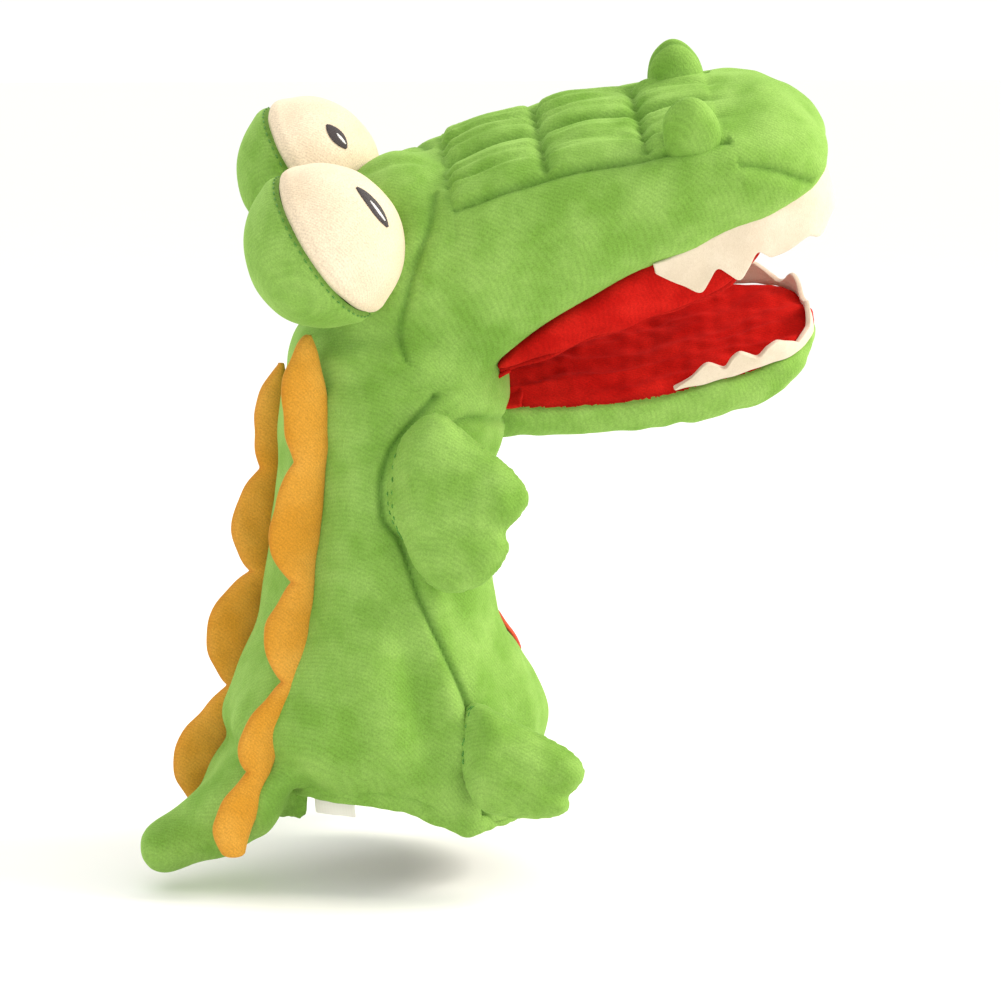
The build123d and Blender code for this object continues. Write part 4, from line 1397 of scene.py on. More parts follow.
@dataclass
class Eyes:
    """The two bulging eyes: a cream front and a green lid, meeting in a stitched seam."""

    place: Row = (-39.0, 27.0, 67.5)
    radius: float = 26.3
    seam_normal: Row = (0.952, 0.0, 0.305)
    seam_shift: float = 1.0
    stitch_gap: float = 1.2

    def centre(self, side: Side) -> np.ndarray:
        """The eye's centre on the head."""
        x, y, z = self.place
        if side is Side.LEFT:
            x, z = x - 3.5, z - 1.5
        return np.array([x, y * side.value, z])

    def build(self, side: Side) -> dict[str, Object]:
        """Both cloths of one eye, its stitches, pupil and glint."""
        normal = np.array(self.seam_normal) / np.linalg.norm(self.seam_normal)
        size = self.radius * (1.0 if side is Side.RIGHT else 0.93)
        across = np.array([0.0, 1.0, 0.0])
        up = np.cross(normal, across)
        tilt = math.acos(self.seam_shift / size)
        pieces = {}
        for word, start, end, cloth in (
            ("eye_white_cloth", 0.0, tilt, Cloth.CREAM),
            ("eyelid_cloth", tilt, math.pi, Cloth.GREEN),
        ):
            turns = np.linspace(start, end, 64)
            rings = []
            for turn in turns[(turns > 0.01) & (turns < math.pi - 0.01)]:
                ring = oval(1.0, 1.0, 2, 96)
                away = abs(turn - tilt) * size
                sunk = 1.5 * math.exp(-((away / 1.1) ** 2))
                girth = size - sunk + 0.5 * math.exp(-(((away - 4) / 2.5) ** 2))
                rings.append(
                    girth
                    * (
                        math.cos(turn) * normal
                        + math.sin(turn) * (ring[:, :1] * across + ring[:, 1:] * up)
                    )
                )
            ball = np.array(rings)
            shape = ball.reshape(-1, 3)
            shape[:, 2] *= np.where(shape[:, 2] > 0, 1.09, 1.0)
            points = HEAD.out(shape + self.centre(side))
            rows, columns = ball.shape[:2]
            faces = grid_faces(rows, columns)
            pole = len(points)
            end_ring, tip = (0, normal * size) if word.startswith("eye_white") else (rows - 1, -normal * size)
            points = np.vstack([points, HEAD.out(self.centre(side) + tip)])
            for j in range(columns):
                k = (j + 1) % columns
                a, b = end_ring * columns + j, end_ring * columns + k
                faces.append([pole, b, a] if end_ring == 0 else [pole, a, b])
            piece = make(f"{word}_{side.word}", points, faces)
            outwards(piece)
            if (normals(piece) * (places(piece) - HEAD.out(self.centre(side)[None]))).sum() < 0:
                piece.data.flip_normals()
            seam_away = np.abs((HEAD.local(places(piece)) - self.centre(side)) @ normal - self.seam_shift)
            # painted shade in the sunk seam between the cream front and the lid
            mark(piece, "seam", 0.9 * np.exp(-((seam_away / 0.9) ** 2)))
            push(piece, 0.25 * waves(places(piece), 17, 41 + side.value))
            pieces[word] = dress(shade(piece), cloth)
        ring = oval(1.0, 1.0, 2, 90)
        girth = math.sqrt(size**2 - self.seam_shift**2)
        line = self.centre(side) + normal * (self.seam_shift - self.stitch_gap)
        line = line + girth * (ring[:, :1] * across + ring[:, 1:] * up)
        line[:, 2] += 0.09 * np.clip(line[:, 2] - self.place[2], 0, None)
        world = HEAD.out(np.vstack([line, line[:1]]))
        lid = tree_of(pieces["eyelid_cloth"])
        pieces["eye_stitches"] = Stitching().sew(f"eye_stitches_{side.word}", [world], lid)
        pieces.update(self.pupil(side, tree_of(pieces["eye_white_cloth"])))
        return pieces

    def pupil(self, side: Side, white: BVHTree) -> dict[str, Object]:
        """The embroidered slit pupil and its glint, in satin stitch laid on the cloth."""
        if side is Side.RIGHT:
            top, bottom = np.array([17.5, -4.1, 20.4]), np.array([23.9, -10.6, 6.8])
            glint = (np.array([20.6, -7.4, 16.0]), np.array([23.0, -9.9, 9.0]))
        else:
            top, bottom = np.array([13.9, -9.4, 21.3]), np.array([18.1, -15.0, 13.0])
            glint = (np.array([16.4, -12.0, 18.2]), np.array([18.0, -14.0, 14.4]))
        pieces = {}
        pieces["pupil"] = self.satin(
            f"pupil_thread_{side.word}", side, white, top, bottom, 2.7, 0.32, Cloth.PUPIL_THREAD
        )
        pieces["glint"] = self.satin(
            f"glint_thread_{side.word}", side, white, glint[0], glint[1], 0.5, 0.62, Cloth.GLINT_THREAD
        )
        return pieces

    def satin(
        self,
        name: str,
        side: Side,
        white: BVHTree,
        top: np.ndarray,
        bottom: np.ndarray,
        half: float,
        lift: float,
        cloth: Cloth,
    ) -> Object:
        """Threads laid side by side across a pointed oval.

        Args:
            name: the new piece's name.
            side: which eye it is on.
            white: the eye's front cloth.
            top: the oval's upper end, from the eye's centre.
            bottom: its lower end.
            half: its half width.
            lift: how far the threads stand off the cloth.
            cloth: the thread.

        Returns:
            One object with all the threads.
        """
        length = np.linalg.norm(top - bottom)
        count = max(int(length / 0.42), 6)
        points, faces = [], []
        centre = HEAD.out(self.centre(side)[None])[0]
        a, b = HEAD.out((self.centre(side) + np.array([top, bottom])))
        for index, t in enumerate(np.linspace(0.02, 0.98, count)):
            middle = a + (b - a) * t
            facing = (middle - centre) / np.linalg.norm(middle - centre)
            across = np.cross(facing, b - a)
            across = across / np.linalg.norm(across)
            reach = half * math.sin(math.pi * t) ** 0.7 + 0.15
            spread = np.linspace(-1, 1, 7)
            line = middle + across * (spread * reach)[:, None]
            found, up = onto(white, line)
            up[:] = facing
            width = length / count * 0.62
            along_way = (b - a) / length
            height = lift * (1 - 0.7 * spread**4) + 0.05 * (index % 2)
            for k in range(7):
                for turn in range(6):
                    c, s = math.cos(turn * math.pi / 3), math.sin(turn * math.pi / 3)
                    points.append(found[k] + up[k] * (height[k] + 0.2 * s) + along_way * (width * c))
            base = index * 42
            faces += [[base + v for v in face] for face in grid_faces(7, 6)]
        obj = make(name, np.array(points), faces)
        outwards(obj)
        return dress(shade(obj), cloth)


@dataclass
class Nostrils:
    """Two soft lobes standing on the end of the snout."""

    place: Row = (86.0, 21.0, 55.0)
    size: Row = (9.6, 6.2, 19.5)

    def build(self, side: Side) -> Object:
        """One nostril lobe, its seam along the upper edge."""
        bpy.ops.mesh.primitive_uv_sphere_add(segments=64, ring_count=40, radius=METRES)
        lobe = bpy.context.active_object
        lobe.name = f"nostril_cloth_{side.word}"
        unit = places(lobe)
        lean = np.array([1.5, 1.0 * side.value, 0.0]) * np.clip(unit[:, 2:], 0, 1)
        x, y, z = self.place
        z += 3.0 if side is Side.RIGHT else 0.5
        fuller = 1 + 0.18 * np.clip(unit[:, 2:], -1, 1)
        points = unit * np.array(self.size) * np.c_[fuller, fuller, np.ones(len(unit))] + lean
        seam = np.exp(-((points[:, 1] / 0.8) ** 2)) * (unit[:, 2] > 0.05)
        points[:, 2] -= 0.9 * seam
        points += np.array([x, y * side.value, z])
        lobe.location = (0, 0, 0)
        move(lobe, HEAD.out(points))
        push(lobe, 0.3 * waves(places(lobe), 12, 51 + side.value))
        # painted shade in the dented seam along the lobe's upper edge
        mark(lobe, "seam", 0.7 * seam)
        return dress(shade(lobe), Cloth.GREEN)


# ---------------------------------------------------------------- the mouth


@dataclass
class Mouth:
    """The red mouth: padded palate with its welt, folded hinge, lower lining, and the felt teeth."""

    # place along the snout, half width and height of the palate's underside
    palate_rows: tuple[Row, ...] = (
        (0.0, 33.0, 1.5),
        (20.0, 34.0, 1.5),
        (45.0, 33.6, 1.5),
        (60.0, 32.0, 1.6),
        (72.0, 31.2, 1.9),
        (82.0, 30.2, 3.2),
        (91.0, 29.0, 7.0),
        (97.0, 27.5, 12.0),
        (103.0, 25.2, 19.0),
        (110.0, 22.0, 26.0),
        (118.0, 17.0, 30.5),
        (124.0, 9.0, 32.0),
    )
    roof_rows: tuple[Row, ...] = (
        (-4.0, 5.5),
        (10.0, 13.0),
        (25.0, 19.0),
        (47.0, 25.0),
        (72.0, 29.5),
        (94.0, 32.0),
        (110.0, 33.0),
        (124.0, 34.0),
    )
    # place along the jaw, half width, lip height and bottom height
    jaw_rows: tuple[Row, ...] = (
        (-26.0, 27.0, -6.0, -30.0),
        (-12.0, 30.0, -6.5, -31.0),
        (-2.0, 31.0, -9.2, -32.0),
        (6.0, 31.5, -12.8, -35.0),
        (18.0, 31.5, -17.2, -38.5),
        (30.0, 31.5, -20.5, -41.0),
        (40.0, 31.5, -22.9, -44.0),
        (50.0, 31.5, -24.6, -46.5),
        (64.0, 31.0, -25.2, -48.5),
        (78.0, 29.5, -26.9, -49.5),
        (90.0, 25.8, -28.2, -49.0),
        (98.0, 21.0, -29.4, -46.0),
        (103.0, 15.0, -30.6, -42.5),
        (106.0, 8.5, -32.0, -38.5),
        (107.2, 2.0, -34.0, -36.0),
    )
    upper_plan: tuple[Row, ...] = (
        (61.5, 33.6),
        (72, 33.0),
        (85, 31.9),
        (94, 30.4),
        (103, 27.6),
        (110, 24.4),
        (117, 19.5),
        (121.5, 14.0),
        (124.2, 8),
        (125.2, 0),
    )
    upper_edge: tuple[Row, ...] = (
        (61.5, 24.5),
        (69.0, 16.0),
        (74.0, 10.8),
        (78.0, 14.5),
        (81.8, 18.0),
        (84.4, 14.5),
        (87.4, 10.6),
        (91.5, 14.0),
        (96.0, 18.0),
        (99.5, 13.4),
        (106.0, 12.6),
        (113.0, 13.2),
        (117.0, 10.2),
        (122.0, 12.4),
        (125.2, 11.6),
    )
    upper_lip: tuple[Row, ...] = ((60.5, 27.5), (72, 29), (94, 32), (111, 33), (127, 35))
    lower_lip: tuple[Row, ...] = ((55, -25.6), (68, -27), (80, -28.4), (90, -30), (102, -32), (106.5, -33))
    lower_plan: tuple[Row, ...] = (
        (55, 30.0),
        (68, 29.4),
        (80, 28.2),
        (90, 25.6),
        (97, 21.8),
        (102, 16.6),
        (105.5, 10),
        (106.5, 0),
    )

    def palate(self) -> Object:
        """The padded red palate, filled from its flat underside up to the snout's lip."""
        stations = np.r_[np.linspace(0, 118, 96), np.linspace(118.6, 124, 10)]
        rings = []
        for x, (wide, low), (roof,) in zip(
            stations, along(self.palate_rows, stations), along(self.roof_rows, stations)
        ):
            ring = oval(wide, max((roof - low) / 2, 1.2), 5.5, 132)
            middle = max((roof + low) / 2, low + 1.2)
            wider = 1 + 0.075 * smooth(ring[:, 1] + middle, low, roof) * (1 - smooth(x, 50, 60))
            rings.append(HEAD.out(np.c_[np.full(132, x), ring[:, 0] * wider, ring[:, 1] + middle]))
        pad = loft("palate_cloth", np.array(rings))
        modify(pad, "REMESH", mode="VOXEL", voxel_size=1.5 * METRES)
        modify(pad, "SMOOTH", factor=0.5, iterations=5)
        subdivide(pad)
        points = places(pad)
        local = HEAD.local(points)
        soft = 0.55 * waves(points, 22, 61) + 0.3 * waves(points * np.array([0.5, 1, 1.2]), 9, 63)
        line = np.array([(x, z + 3.1) for x, _, z in self.palate_rows[:9]])
        away = distance_to_line(local[:, [0, 2]], line)
        groove = np.exp(-((away / 1.2) ** 2)) * (np.abs(local[:, 1]) > 20)
        # painted shade in the groove above the welt
        mark(pad, "seam", 0.95 * groove)
        push(pad, soft - 2.6 * groove)
        return dress(shade(pad), Cloth.RED)

    def jaw(self) -> tuple[Object, Object]:
        """The green jaw cloth and the red lining over it, shaped together and cut at the lip."""
        stations = np.r_[np.linspace(-26, 100, 92), np.linspace(101, 107.2, 10)]
        rings = []
        for x, (wide, lip, low) in zip(stations, along(self.jaw_rows, stations)):
            middle = lip - 0.4 * (lip - low)
            upper = oval(wide, lip - middle, 5.5, 140)
            lower = oval(wide, middle - low, 2.7, 140)
            ring = np.where(upper[:, 1:] >= 0, upper, lower)
            rings.append(HEAD.out(np.c_[np.full(140, x), ring[:, 0], ring[:, 1] + middle]))
        whole = loft("jaw_form", np.array(rings))
        modify(whole, "REMESH", mode="VOXEL", voxel_size=1.6 * METRES)
        modify(whole, "SMOOTH", factor=0.5, iterations=5)
        subdivide(whole)
        points = places(whole)
        local = HEAD.local(points)
        lip = along([(x, z) for x, _, z, _ in self.jaw_rows], local[:, 0])[:, 0]
        rim = local[:, 2] - (lip - 2.2)
        groove = np.exp(-((rim / 0.9) ** 2))
        top = smooth(rim, 0.5, 2.5)
        crumple = waves(local * np.array([0.75, 1.25, 1.0]), 15, 71) + 0.5 * waves(local, 7, 72)
        creased = 1.6 - 1.5 * np.abs(waves(local * np.array([0.6, 1.5, 1.0]), 21, 73))
        sole = 0.8 * waves(points, 24, 74) + 0.35 * waves(points, 9, 75)
        dish = -0.8 * top * (1 - smooth(np.abs(local[:, 1]), 6, 27)) * smooth(local[:, 0], 4, 20)
        # painted shade in the groove where the green cloth meets the red lining
        mark(whole, "seam", 0.8 * groove)
        rolled = 0.9 * np.exp(-(((rim - 2.5) / 1.5) ** 2))
        push(whole, top * (0.5 * crumple + creased) + (1 - top) * sole - 0.9 * groove + dish + rolled)
        middle = HEAD.local(points[quads_of(whole)].mean(1))
        lip = along([(x, z) for x, _, z, _ in self.jaw_rows], middle[:, 0])[:, 0]
        labels = np.where(middle[:, 2] > lip - 2.2, 1, 0)
        labels[(labels == 1) & (middle[:, 0] < 1)] = -1
        skin, lining = split(whole, labels, ("jaw_cloth", "jaw_lining_cloth"))
        return dress(skin, Cloth.GREEN), dress(lining, Cloth.RED)

    def fold(self) -> Object:
        """The red cloth folded in the corner of the mouth, from palate to jaw."""
        across = np.linspace(-1, 1, 61)
        around = np.linspace(0, 1, 25)
        points = []
        for t in around:
            turn = math.pi * t
            x = 5.0 - 10.5 * math.sin(turn)
            z = 3.2 + (-11.5 - 3.2) * (0.5 - 0.5 * math.cos(turn))
            wide = 33.0 + 0.6 * math.sin(turn)
            points.append(np.c_[np.full(61, x), across * wide, np.full(61, z)])
        local = np.array(points).reshape(-1, 3)
        local[:, 0] += 0.6 * waves(local, 11, 81)
        sheet = make("mouth_fold_cloth", HEAD.out(local), grid_faces(25, 61, closed=False))
        modify(sheet, "SOLIDIFY", thickness=1.4 * METRES, offset=0.0)
        subdivide(sheet)
        outwards(sheet)
        return dress(shade(sheet), Cloth.RED)

    def band(self, name: str, plan: tuple[Row, ...], edge: Callable, lip: Callable, lean: float) -> Object:
        """A felt strip round the lip, its free edge cut in teeth.

        Args:
            name: the new piece's name.
            plan: the strip's line round the snout or jaw, one side.
            edge: the free edge's height at a place and a side.
            lip: the sewn edge's height at a place.
            lean: how far the free edge leans out, in millimetres for each millimetre of height.
        """
        half = even(plan, 0.9)
        line = np.vstack([half * np.array([1, -1]), (half[::-1])[1:]])
        run = np.gradient(line, axis=0)
        out = np.c_[run[:, 1], -run[:, 0]]
        out /= np.linalg.norm(out, axis=1)[:, None]
        out *= np.where((out * (line - np.array([60.0, 0.0]))).sum(1) < 0, -1, 1)[:, None]
        rows = np.linspace(0, 1, 15)
        points = []
        for share in rows:
            top = lip(line[:, 0])
            free = edge(line[:, 0], line[:, 1])
            height = top + (free - top) * share
            shift = lean * np.abs(height - top) + 0.3 * np.sin(line[:, 0] / 5 + 3 * share)
            points.append(np.c_[line + out * shift[:, None], height])
        local = np.array(points).reshape(-1, 3)
        local += 0.16 * waves(local, 9, 91)[:, None]
        strip = make(name, HEAD.out(local), grid_faces(len(rows), len(line), closed=False))
        modify(strip, "SOLIDIFY", thickness=1.8 * METRES, offset=0.0)
        modify(strip, "SUBSURF", levels=1, render_levels=1)
        outwards(strip)
        return dress(shade(strip), Cloth.TOOTH)

    def teeth(self) -> tuple[Object, Object]:
        """The upper and lower felt strips."""
        upper = self.band(
            "upper_teeth_felt", self.upper_plan, curve(self.upper_edge), curve(self.upper_lip), 0.02
        )
        lower = self.band("lower_teeth_felt", self.lower_plan, self.lower_edge, curve(self.lower_lip), 0.12)
        return upper, lower

    @staticmethod
    def lower_edge(x: np.ndarray, y: np.ndarray) -> np.ndarray:
        """The lower strip's free edge: three teeth along each side and two at the front."""
        tooth_line = [
            (55, -24.8),
            (62, -22.4),
            (68, -19.5),
            (71.5, -21.6),
            (74, -23.6),
            (77, -20.5),
            (80, -19.2),
            (83, -21.8),
            (85.5, -24.2),
            (89, -22.4),
            (92, -22.0),
            (96, -25.0),
            (99, -28.0),
        ]
        side = along(tooth_line, x)[:, 0]
        front = -29.5 + 6.3 * np.exp(-(((y + 6) / 4.2) ** 2)) + 6.0 * np.exp(-(((y - 13) / 4.0) ** 2))
        return np.where(x > 99, np.maximum(front, -29.0), side)


# ---------------------------------------------------------------- hem, linings and small pieces


@dataclass
class Boards:
    """The two stiff boards in the mouth, each a little smaller than its pocket between the cloths."""

    across: float = 0.93
    lengthwise: float = 0.97

    def build(self, node: str, name: str) -> Object:
        """One board, from the board of the frame."""
        source = bpy.data.objects[node]
        points = np.array([source.matrix_world @ vert.co for vert in source.data.vertices]) / METRES
        local = HEAD.local(points)
        middle = (local.min(0) + local.max(0)) / 2
        middle[1] = 0.0
        local = middle + (local - middle) * np.array([self.lengthwise, self.across, 1.0])
        board = make(name, HEAD.out(local), [list(face.vertices) for face in source.data.polygons])
        outwards(board)
        return dress(board, Cloth.BOARD)


@dataclass
class Hem:
    """The rolled hem round the arm opening and the linings; its line also places the label."""

    skin: GreenSkin
    roll: float = 2.3

    def ring(self, inset: float = 0.0) -> np.ndarray:
        """The hem's line, following its rise and dip."""
        x, deep, wide = along(self.skin.torso_rows, np.array([self.skin.hem_level]))[0]
        ring = oval(deep - inset, wide - inset, 2.15, 220)
        line = np.c_[ring[:, 0] + x, ring[:, 1], np.full(220, self.skin.hem_level)]
        line[:, 2] += self.skin.hem_shift(line[:, 0])
        return line

    def band(self) -> Object:
        """The rolled edge."""
        line = self.ring(1.2)
        middle = line.mean(0)
        rings = []
        for point in line:
            out = (point - middle) * np.array([1, 1, 0])
            out /= np.linalg.norm(out)
            ring = oval(self.roll, self.roll * 1.5, 2.4, 20)
            rings.append(point + ring[:, :1] * out + ring[:, 1:] * np.array([0, 0, 1.0]))
        rings = np.array(rings)
        faces = []
        for i in range(len(rings)):
            k = (i + 1) % len(rings)
            for j in range(20):
                m = (j + 1) % 20
                faces.append([i * 20 + j, i * 20 + m, k * 20 + m, k * 20 + j])
        band = make("hem_cloth", rings.reshape(-1, 3), faces)
        outwards(band)
        subdivide(band)
        push(band, 0.4 * waves(places(band), 16, 101) + 0.2 * waves(places(band), 6, 102))
        mark(band, "seam", np.zeros(len(band.data.vertices)))
        return dress(shade(band), Cloth.GREEN)

    def tube(self, name: str, rings: np.ndarray, thick: float = 0.7) -> Object:
        """An open tube of lining, with its own thickness and loose wrinkles."""
        rows, columns, _ = rings.shape
        tube = make(name, rings.reshape(-1, 3), grid_faces(rows, columns))
        outwards(tube)
        modify(tube, "SOLIDIFY", thickness=thick * METRES, offset=0.0)
        subdivide(tube)
        return dress(shade(tube), Cloth.LINING)

    def lining(self, name: str, low: float, high: float, inset: float) -> Object:
        """A length of sleeve lining inside the torso, between two heights."""
        heights = np.linspace(low, high, 46)
        rings = []
        for z, (x, deep, wide) in zip(heights, along(self.skin.torso_rows, heights)):
            ring = oval(deep - inset, wide - inset, 2.15, 110)
            line = np.c_[ring[:, 0] + x, ring[:, 1], np.full(110, z)]
            if z < 60:
                line[:, 2] += self.skin.hem_shift(line[:, 0]) * math.exp(-(z - low) / 13)
            loose = 0.7 * waves(line * np.array([1, 1, 0.35]), 19, 111)
            middle = np.array([x, 0, z])
            out = (line - middle) * np.array([1, 1, 0])
            out /= np.linalg.norm(out, axis=1)[:, None]
            rings.append(line + out * loose[:, None])
        return self.tube(name, np.array(rings))


@dataclass
class SmallPieces:
    """The care label in the hem and the felt patch on the belly."""

    def label(self, hem: Hem) -> Object:
        """A plain folded tape hanging inside the hem."""
        turn = math.radians(42)
        line = hem.ring(4.2)
        angle = np.arctan2(line[:, 1], line[:, 0])
        start = line[np.argmin(np.abs(angle + math.pi - turn))]
        way = np.array([math.sin(turn), -math.cos(turn), 0.0])
        inward = np.array([math.cos(turn), math.sin(turn), 0.0])
        points = []
        for v in np.linspace(0, 1, 15):
            for u in np.linspace(-8, 8, 11):
                curl = 1.2 * v * v + 0.25 * math.sin(u / 2.2)
                points.append(start + way * u + inward * curl + np.array([0, 0, 2.0 - 11.0 * v]))
        label = make("care_label_tape", np.array(points), grid_faces(15, 11, closed=False))
        modify(label, "SOLIDIFY", thickness=0.4 * METRES, offset=0.0)
        subdivide(label)
        return dress(shade(label), Cloth.LABEL)

    def patch(self, belly: BVHTree) -> Object:
        """A small felt lozenge sewn to the belly."""
        rings = []
        for share in (0.02, 0.35, 0.6, 0.8, 0.93, 1.0):
            ring = oval(6.5 * share, 8.5 * share, 1.6, 48)
            spots = np.c_[np.full(48, 90.0), ring[:, 0] - 2.0, ring[:, 1] + 58.0]
            found, facing = onto(belly, spots, np.array([-1.0, 0.0, 0.0]))
            lift = 1.1 if share < 0.95 else 0.15
            rings.append(found + facing * lift)
        patch = make("belly_patch_felt", np.array(rings).reshape(-1, 3), grid_faces(6, 48))
        modify(patch, "SOLIDIFY", thickness=0.9 * METRES, offset=-1.0)
        subdivide(patch)
        outwards(patch)
        return dress(shade(patch), Cloth.PATCH)


# ---------------------------------------------------------------- the studio


@dataclass
class Studio:
    """Soft warm light from the front right over a plain pale floor, and the camera."""

    target: Row = (39.77, 1.31, 105.54)
    distance: float = 1100.0
    turn: float = 20.0
    height: float = 8.0
    lens: float = 113.03
    floor: float = -24.0

    def camera(self) -> None:
        """A long lens level with the puppet's side."""
        turn, height = math.radians(self.turn), math.radians(self.height)
        right = Vector((math.cos(turn), -math.sin(turn), 0.0))
        ahead = Vector(
            (math.sin(turn) * math.cos(height), math.cos(turn) * math.cos(height), -math.sin(height))
        )
        up = right.cross(ahead)
        spot = Vector(self.target) - ahead * self.distance
        data = bpy.data.cameras.new("camera")
        data.lens = self.lens
        data.sensor_width = 36.0
        data.clip_start = 0.05
        data.clip_end = 50.0
        camera = bpy.data.objects.new("camera", data)
        bpy.context.scene.collection.objects.link(camera)
        frame = Matrix((right, up, -ahead)).transposed().to_4x4()
        camera.matrix_world = Matrix.Translation(spot * METRES) @ frame
        bpy.context.scene.camera = camera

    def lamp(self, name: str, spot: Row, size: float, power: float, tint: Row) -> None:
        """A square soft light that faces the puppet."""
        data = bpy.data.lights.new(name, "AREA")
        data.shape = "SQUARE"
        data.size = size
        data.energy = power
        data.color = tint
        lamp = bpy.data.objects.new(name, data)
        bpy.context.scene.collection.objects.link(lamp)
        lamp.location = spot
        aim = Vector((0.03, 0.0, 0.11)) - Vector(spot)
        lamp.rotation_euler = aim.to_track_quat("-Z", "Y").to_euler()

    def build(self) -> None:
        """Floor, lights, surroundings and camera."""
        bpy.ops.mesh.primitive_plane_add(size=60, location=(0, 0, self.floor * METRES))
        floor = bpy.context.active_object
        floor.name = "studio_floor"
        dress(floor, Cloth.PAPER)
        self.lamp("key_light", (1.2, -0.55, 1.05), 0.7, 23.0, (1.0, 0.93, 0.84))
        self.lamp("fill_light", (-1.3, -1.2, 0.7), 1.4, 2.0, (1.0, 0.97, 0.92))
        self.lamp("back_light", (-0.3, 1.3, 1.1), 1.2, 4.0, (1.0, 0.98, 0.95))
        world = bpy.data.worlds.new("studio_air")
        world.use_nodes = True
        sky = world.node_tree.nodes["Background"]
        sky.inputs["Color"].default_value = (1.0, 0.992, 0.978, 1.0)
        sky.inputs["Strength"].default_value = 1.05
        bpy.context.scene.world = world
        bpy.context.scene.view_settings.view_transform = "Standard"
        self.camera()


# ---------------------------------------------------------------- the puppet


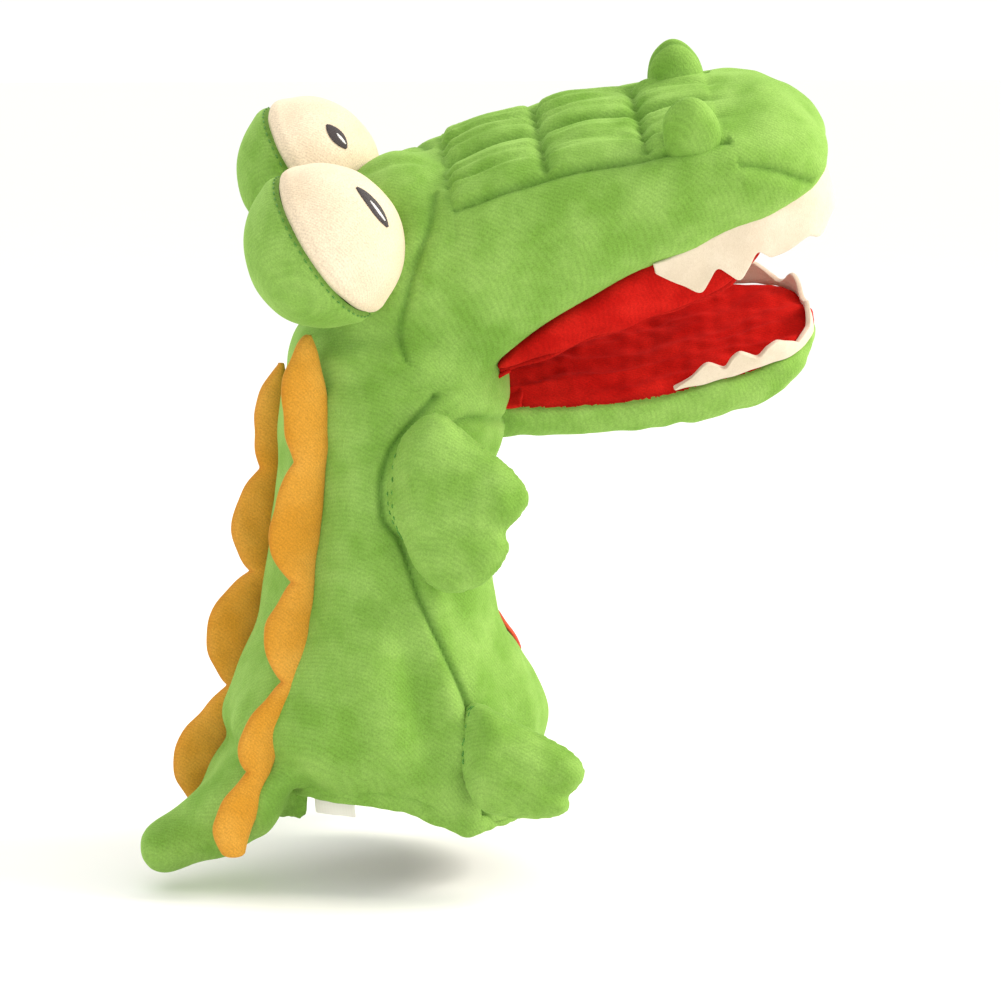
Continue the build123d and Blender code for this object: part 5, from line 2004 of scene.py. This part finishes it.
@dataclass
class Puppet:
    """Builds every piece, parents each piece that stays on one body to that body, and hides the CAD nodes it
    stands for.
    """

    skin: GreenSkin = field(default_factory=GreenSkin)
    mouth: Mouth = field(default_factory=Mouth)
    eyes: Eyes = field(default_factory=Eyes)
    stitching: Stitching = field(default_factory=Stitching)

    @staticmethod
    def at_neck(height: float) -> Row:
        """A point on the neck's axis, in metres."""
        return metres(NECK_AXIS * height)

    def stand(self, obj: Object, body: str, slot: str, *nodes: str) -> Object:
        """An object that moves with one body."""
        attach(obj, body)
        if nodes:
            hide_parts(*nodes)
        return obj

    def bend(
        self, obj: Object, pair: tuple[str, str], start: Row, end: Row, slot: str, *nodes: str
    ) -> Object:
        """An object of cloth that crosses a joint."""
        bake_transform(obj)
        if nodes:
            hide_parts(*nodes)
        return obj

    def clothe(self) -> None:
        """The green skin's pieces."""
        pieces = self.skin.build()
        for piece in pieces.values():
            dress(piece, Cloth.GREEN)
        low, middle, high = self.at_neck(104), self.at_neck(122.3), self.at_neck(146)
        self.belly = tree_of(pieces["belly_cloth"])
        self.bend(pieces["back_cloth"], ("torso", "neck"), low, middle, "green_plush", "back_panel")
        self.bend(pieces["belly_cloth"], ("torso", "neck"), low, middle, "green_plush", "belly_panel")
        nape = pieces["neck_and_nape_cloth"]
        nodes = ("neck_skin", "head_back_panel")
        self.bend(nape, ("neck", "head"), self.at_neck(126), high, "green_plush", *nodes)
        way, start = self.skin.tail_way, self.skin.tail_start
        near, far = (metres(start + way * reach) for reach in (24, 34))
        nodes = ("tail_root", "tail", "tail_filling")
        self.bend(pieces["tail_cloth"], ("torso", "tail"), near, far, "green_plush", *nodes)
        for side in Side:
            self.stand(
                pieces[f"cheek_cloth_{side.word}"], "head", "green_plush", f"head_side_panel_{side.word}"
            )
        self.stand(pieces["quilted_snout_cloth"], "head", "green_plush", "snout_top_panel", "snout_stuffing")

    def build(self) -> None:
        """Every piece of the puppet."""
        self.clothe()
        low, middle = self.at_neck(104), self.at_neck(122.3)
        for side in Side:
            fin = Fins().build(side)
            self.bend(fin, ("torso", "neck"), low, middle, "orange_plush", f"dorsal_ridge_{side.word}")
            for limb in (ARM, LEG):
                paw = limb.build(side)
                body = f"{limb.word}_{side.word}"
                self.stand(paw, body, "green_plush", body, f"{limb.word}_filling_{side.word}")
                stitches = self.stitching.sew(f"{body}_stitches", [limb.rear_line(side)], tree_of(paw))
                self.stand(stitches, body, "embroidery")
        self.face()
        self.bite()
        self.inside()
        log.info("puppet built")

    def face(self) -> None:
        """Eyes and nostrils."""
        slots = {
            "eye_white_cloth": ("white_plush", "eye_white_", "eye_filling_"),
            "eyelid_cloth": ("green_plush", "eyelid_"),
            "pupil": ("embroidery", "pupil_"),
        }
        for side in Side:
            pieces = self.eyes.build(side)
            for word, piece in pieces.items():
                slot, *nodes = slots.get(word, ("embroidery",))
                self.stand(piece, "head", slot, *(node + side.word for node in nodes))
            lobe = Nostrils().build(side)
            self.stand(lobe, "head", "green_plush", f"nostril_{side.word}")

    def bite(self) -> None:
        """Palate, fold, jaw and teeth."""
        palate = self.mouth.palate()
        self.stand(palate, "head", "red_velour", "palate_lining")
        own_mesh(palate)
        fold = self.mouth.fold()
        near, far = (metres(HEAD.out(np.array([0.0, 0.0, z]))) for z in (0.5, -8.0))
        self.bend(fold, ("head", "jaw"), near, far, "red_velour", "mouth_fold")
        jaw, lining = self.mouth.jaw()
        near, far = (metres(HEAD.out(np.array([x, 0.0, -20.0]))) for x in (-14.0, 8.0))
        nodes = ("jaw_underside_panel", "throat_gusset", "jaw_stuffing")
        self.bend(jaw, ("head", "jaw"), near, far, "green_plush", *nodes)
        self.stand(lining, "jaw", "red_velour", "jaw_lining")
        for level, body in (("upper", "head"), ("lower", "jaw")):
            board = Boards().build(f"{level}_mouth_board", f"{level}_board_stock")
            self.stand(board, body, "mouth_board", f"{level}_mouth_board")
        upper, lower = self.mouth.teeth()
        self.stand(upper, "head", "white_felt", "upper_teeth_strip")
        self.stand(lower, "jaw", "white_felt", "lower_teeth_strip")

    def inside(self) -> None:
        """Hem, linings, label and patch."""
        hem = Hem(self.skin)
        band = hem.band()
        self.stand(band, "torso", "green_hem", "arm_opening_hem", "lower_body_padding")
        lining = hem.lining("torso_lining_cloth", 4.0, 104.0, 5.0)
        self.stand(lining, "torso", "lining_cloth", "torso_lining")
        sleeve = hem.lining("wrist_lining_cloth", 104.0, 136.0, 7.5)
        self.bend(
            sleeve, ("torso", "neck"), self.at_neck(104), self.at_neck(122), "lining_cloth", "wrist_lining"
        )
        label = SmallPieces().label(hem)
        self.stand(label, "torso", "label_tape", "care_label")
        patch = SmallPieces().patch(self.belly)
        self.stand(patch, "torso", "red_patch", "belly_patch")


def corners(box: tuple) -> list[list[float]]:
    """A box's two corners as plain lists."""
    return [[float(v) for v in corner] for corner in box]


def main() -> None:
    """Loads the frame, dresses the puppet and sets the studio."""
    logging.basicConfig(level=logging.INFO)
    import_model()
    Puppet().build()
    Studio().build()


if __name__ == "__main__":
    main()
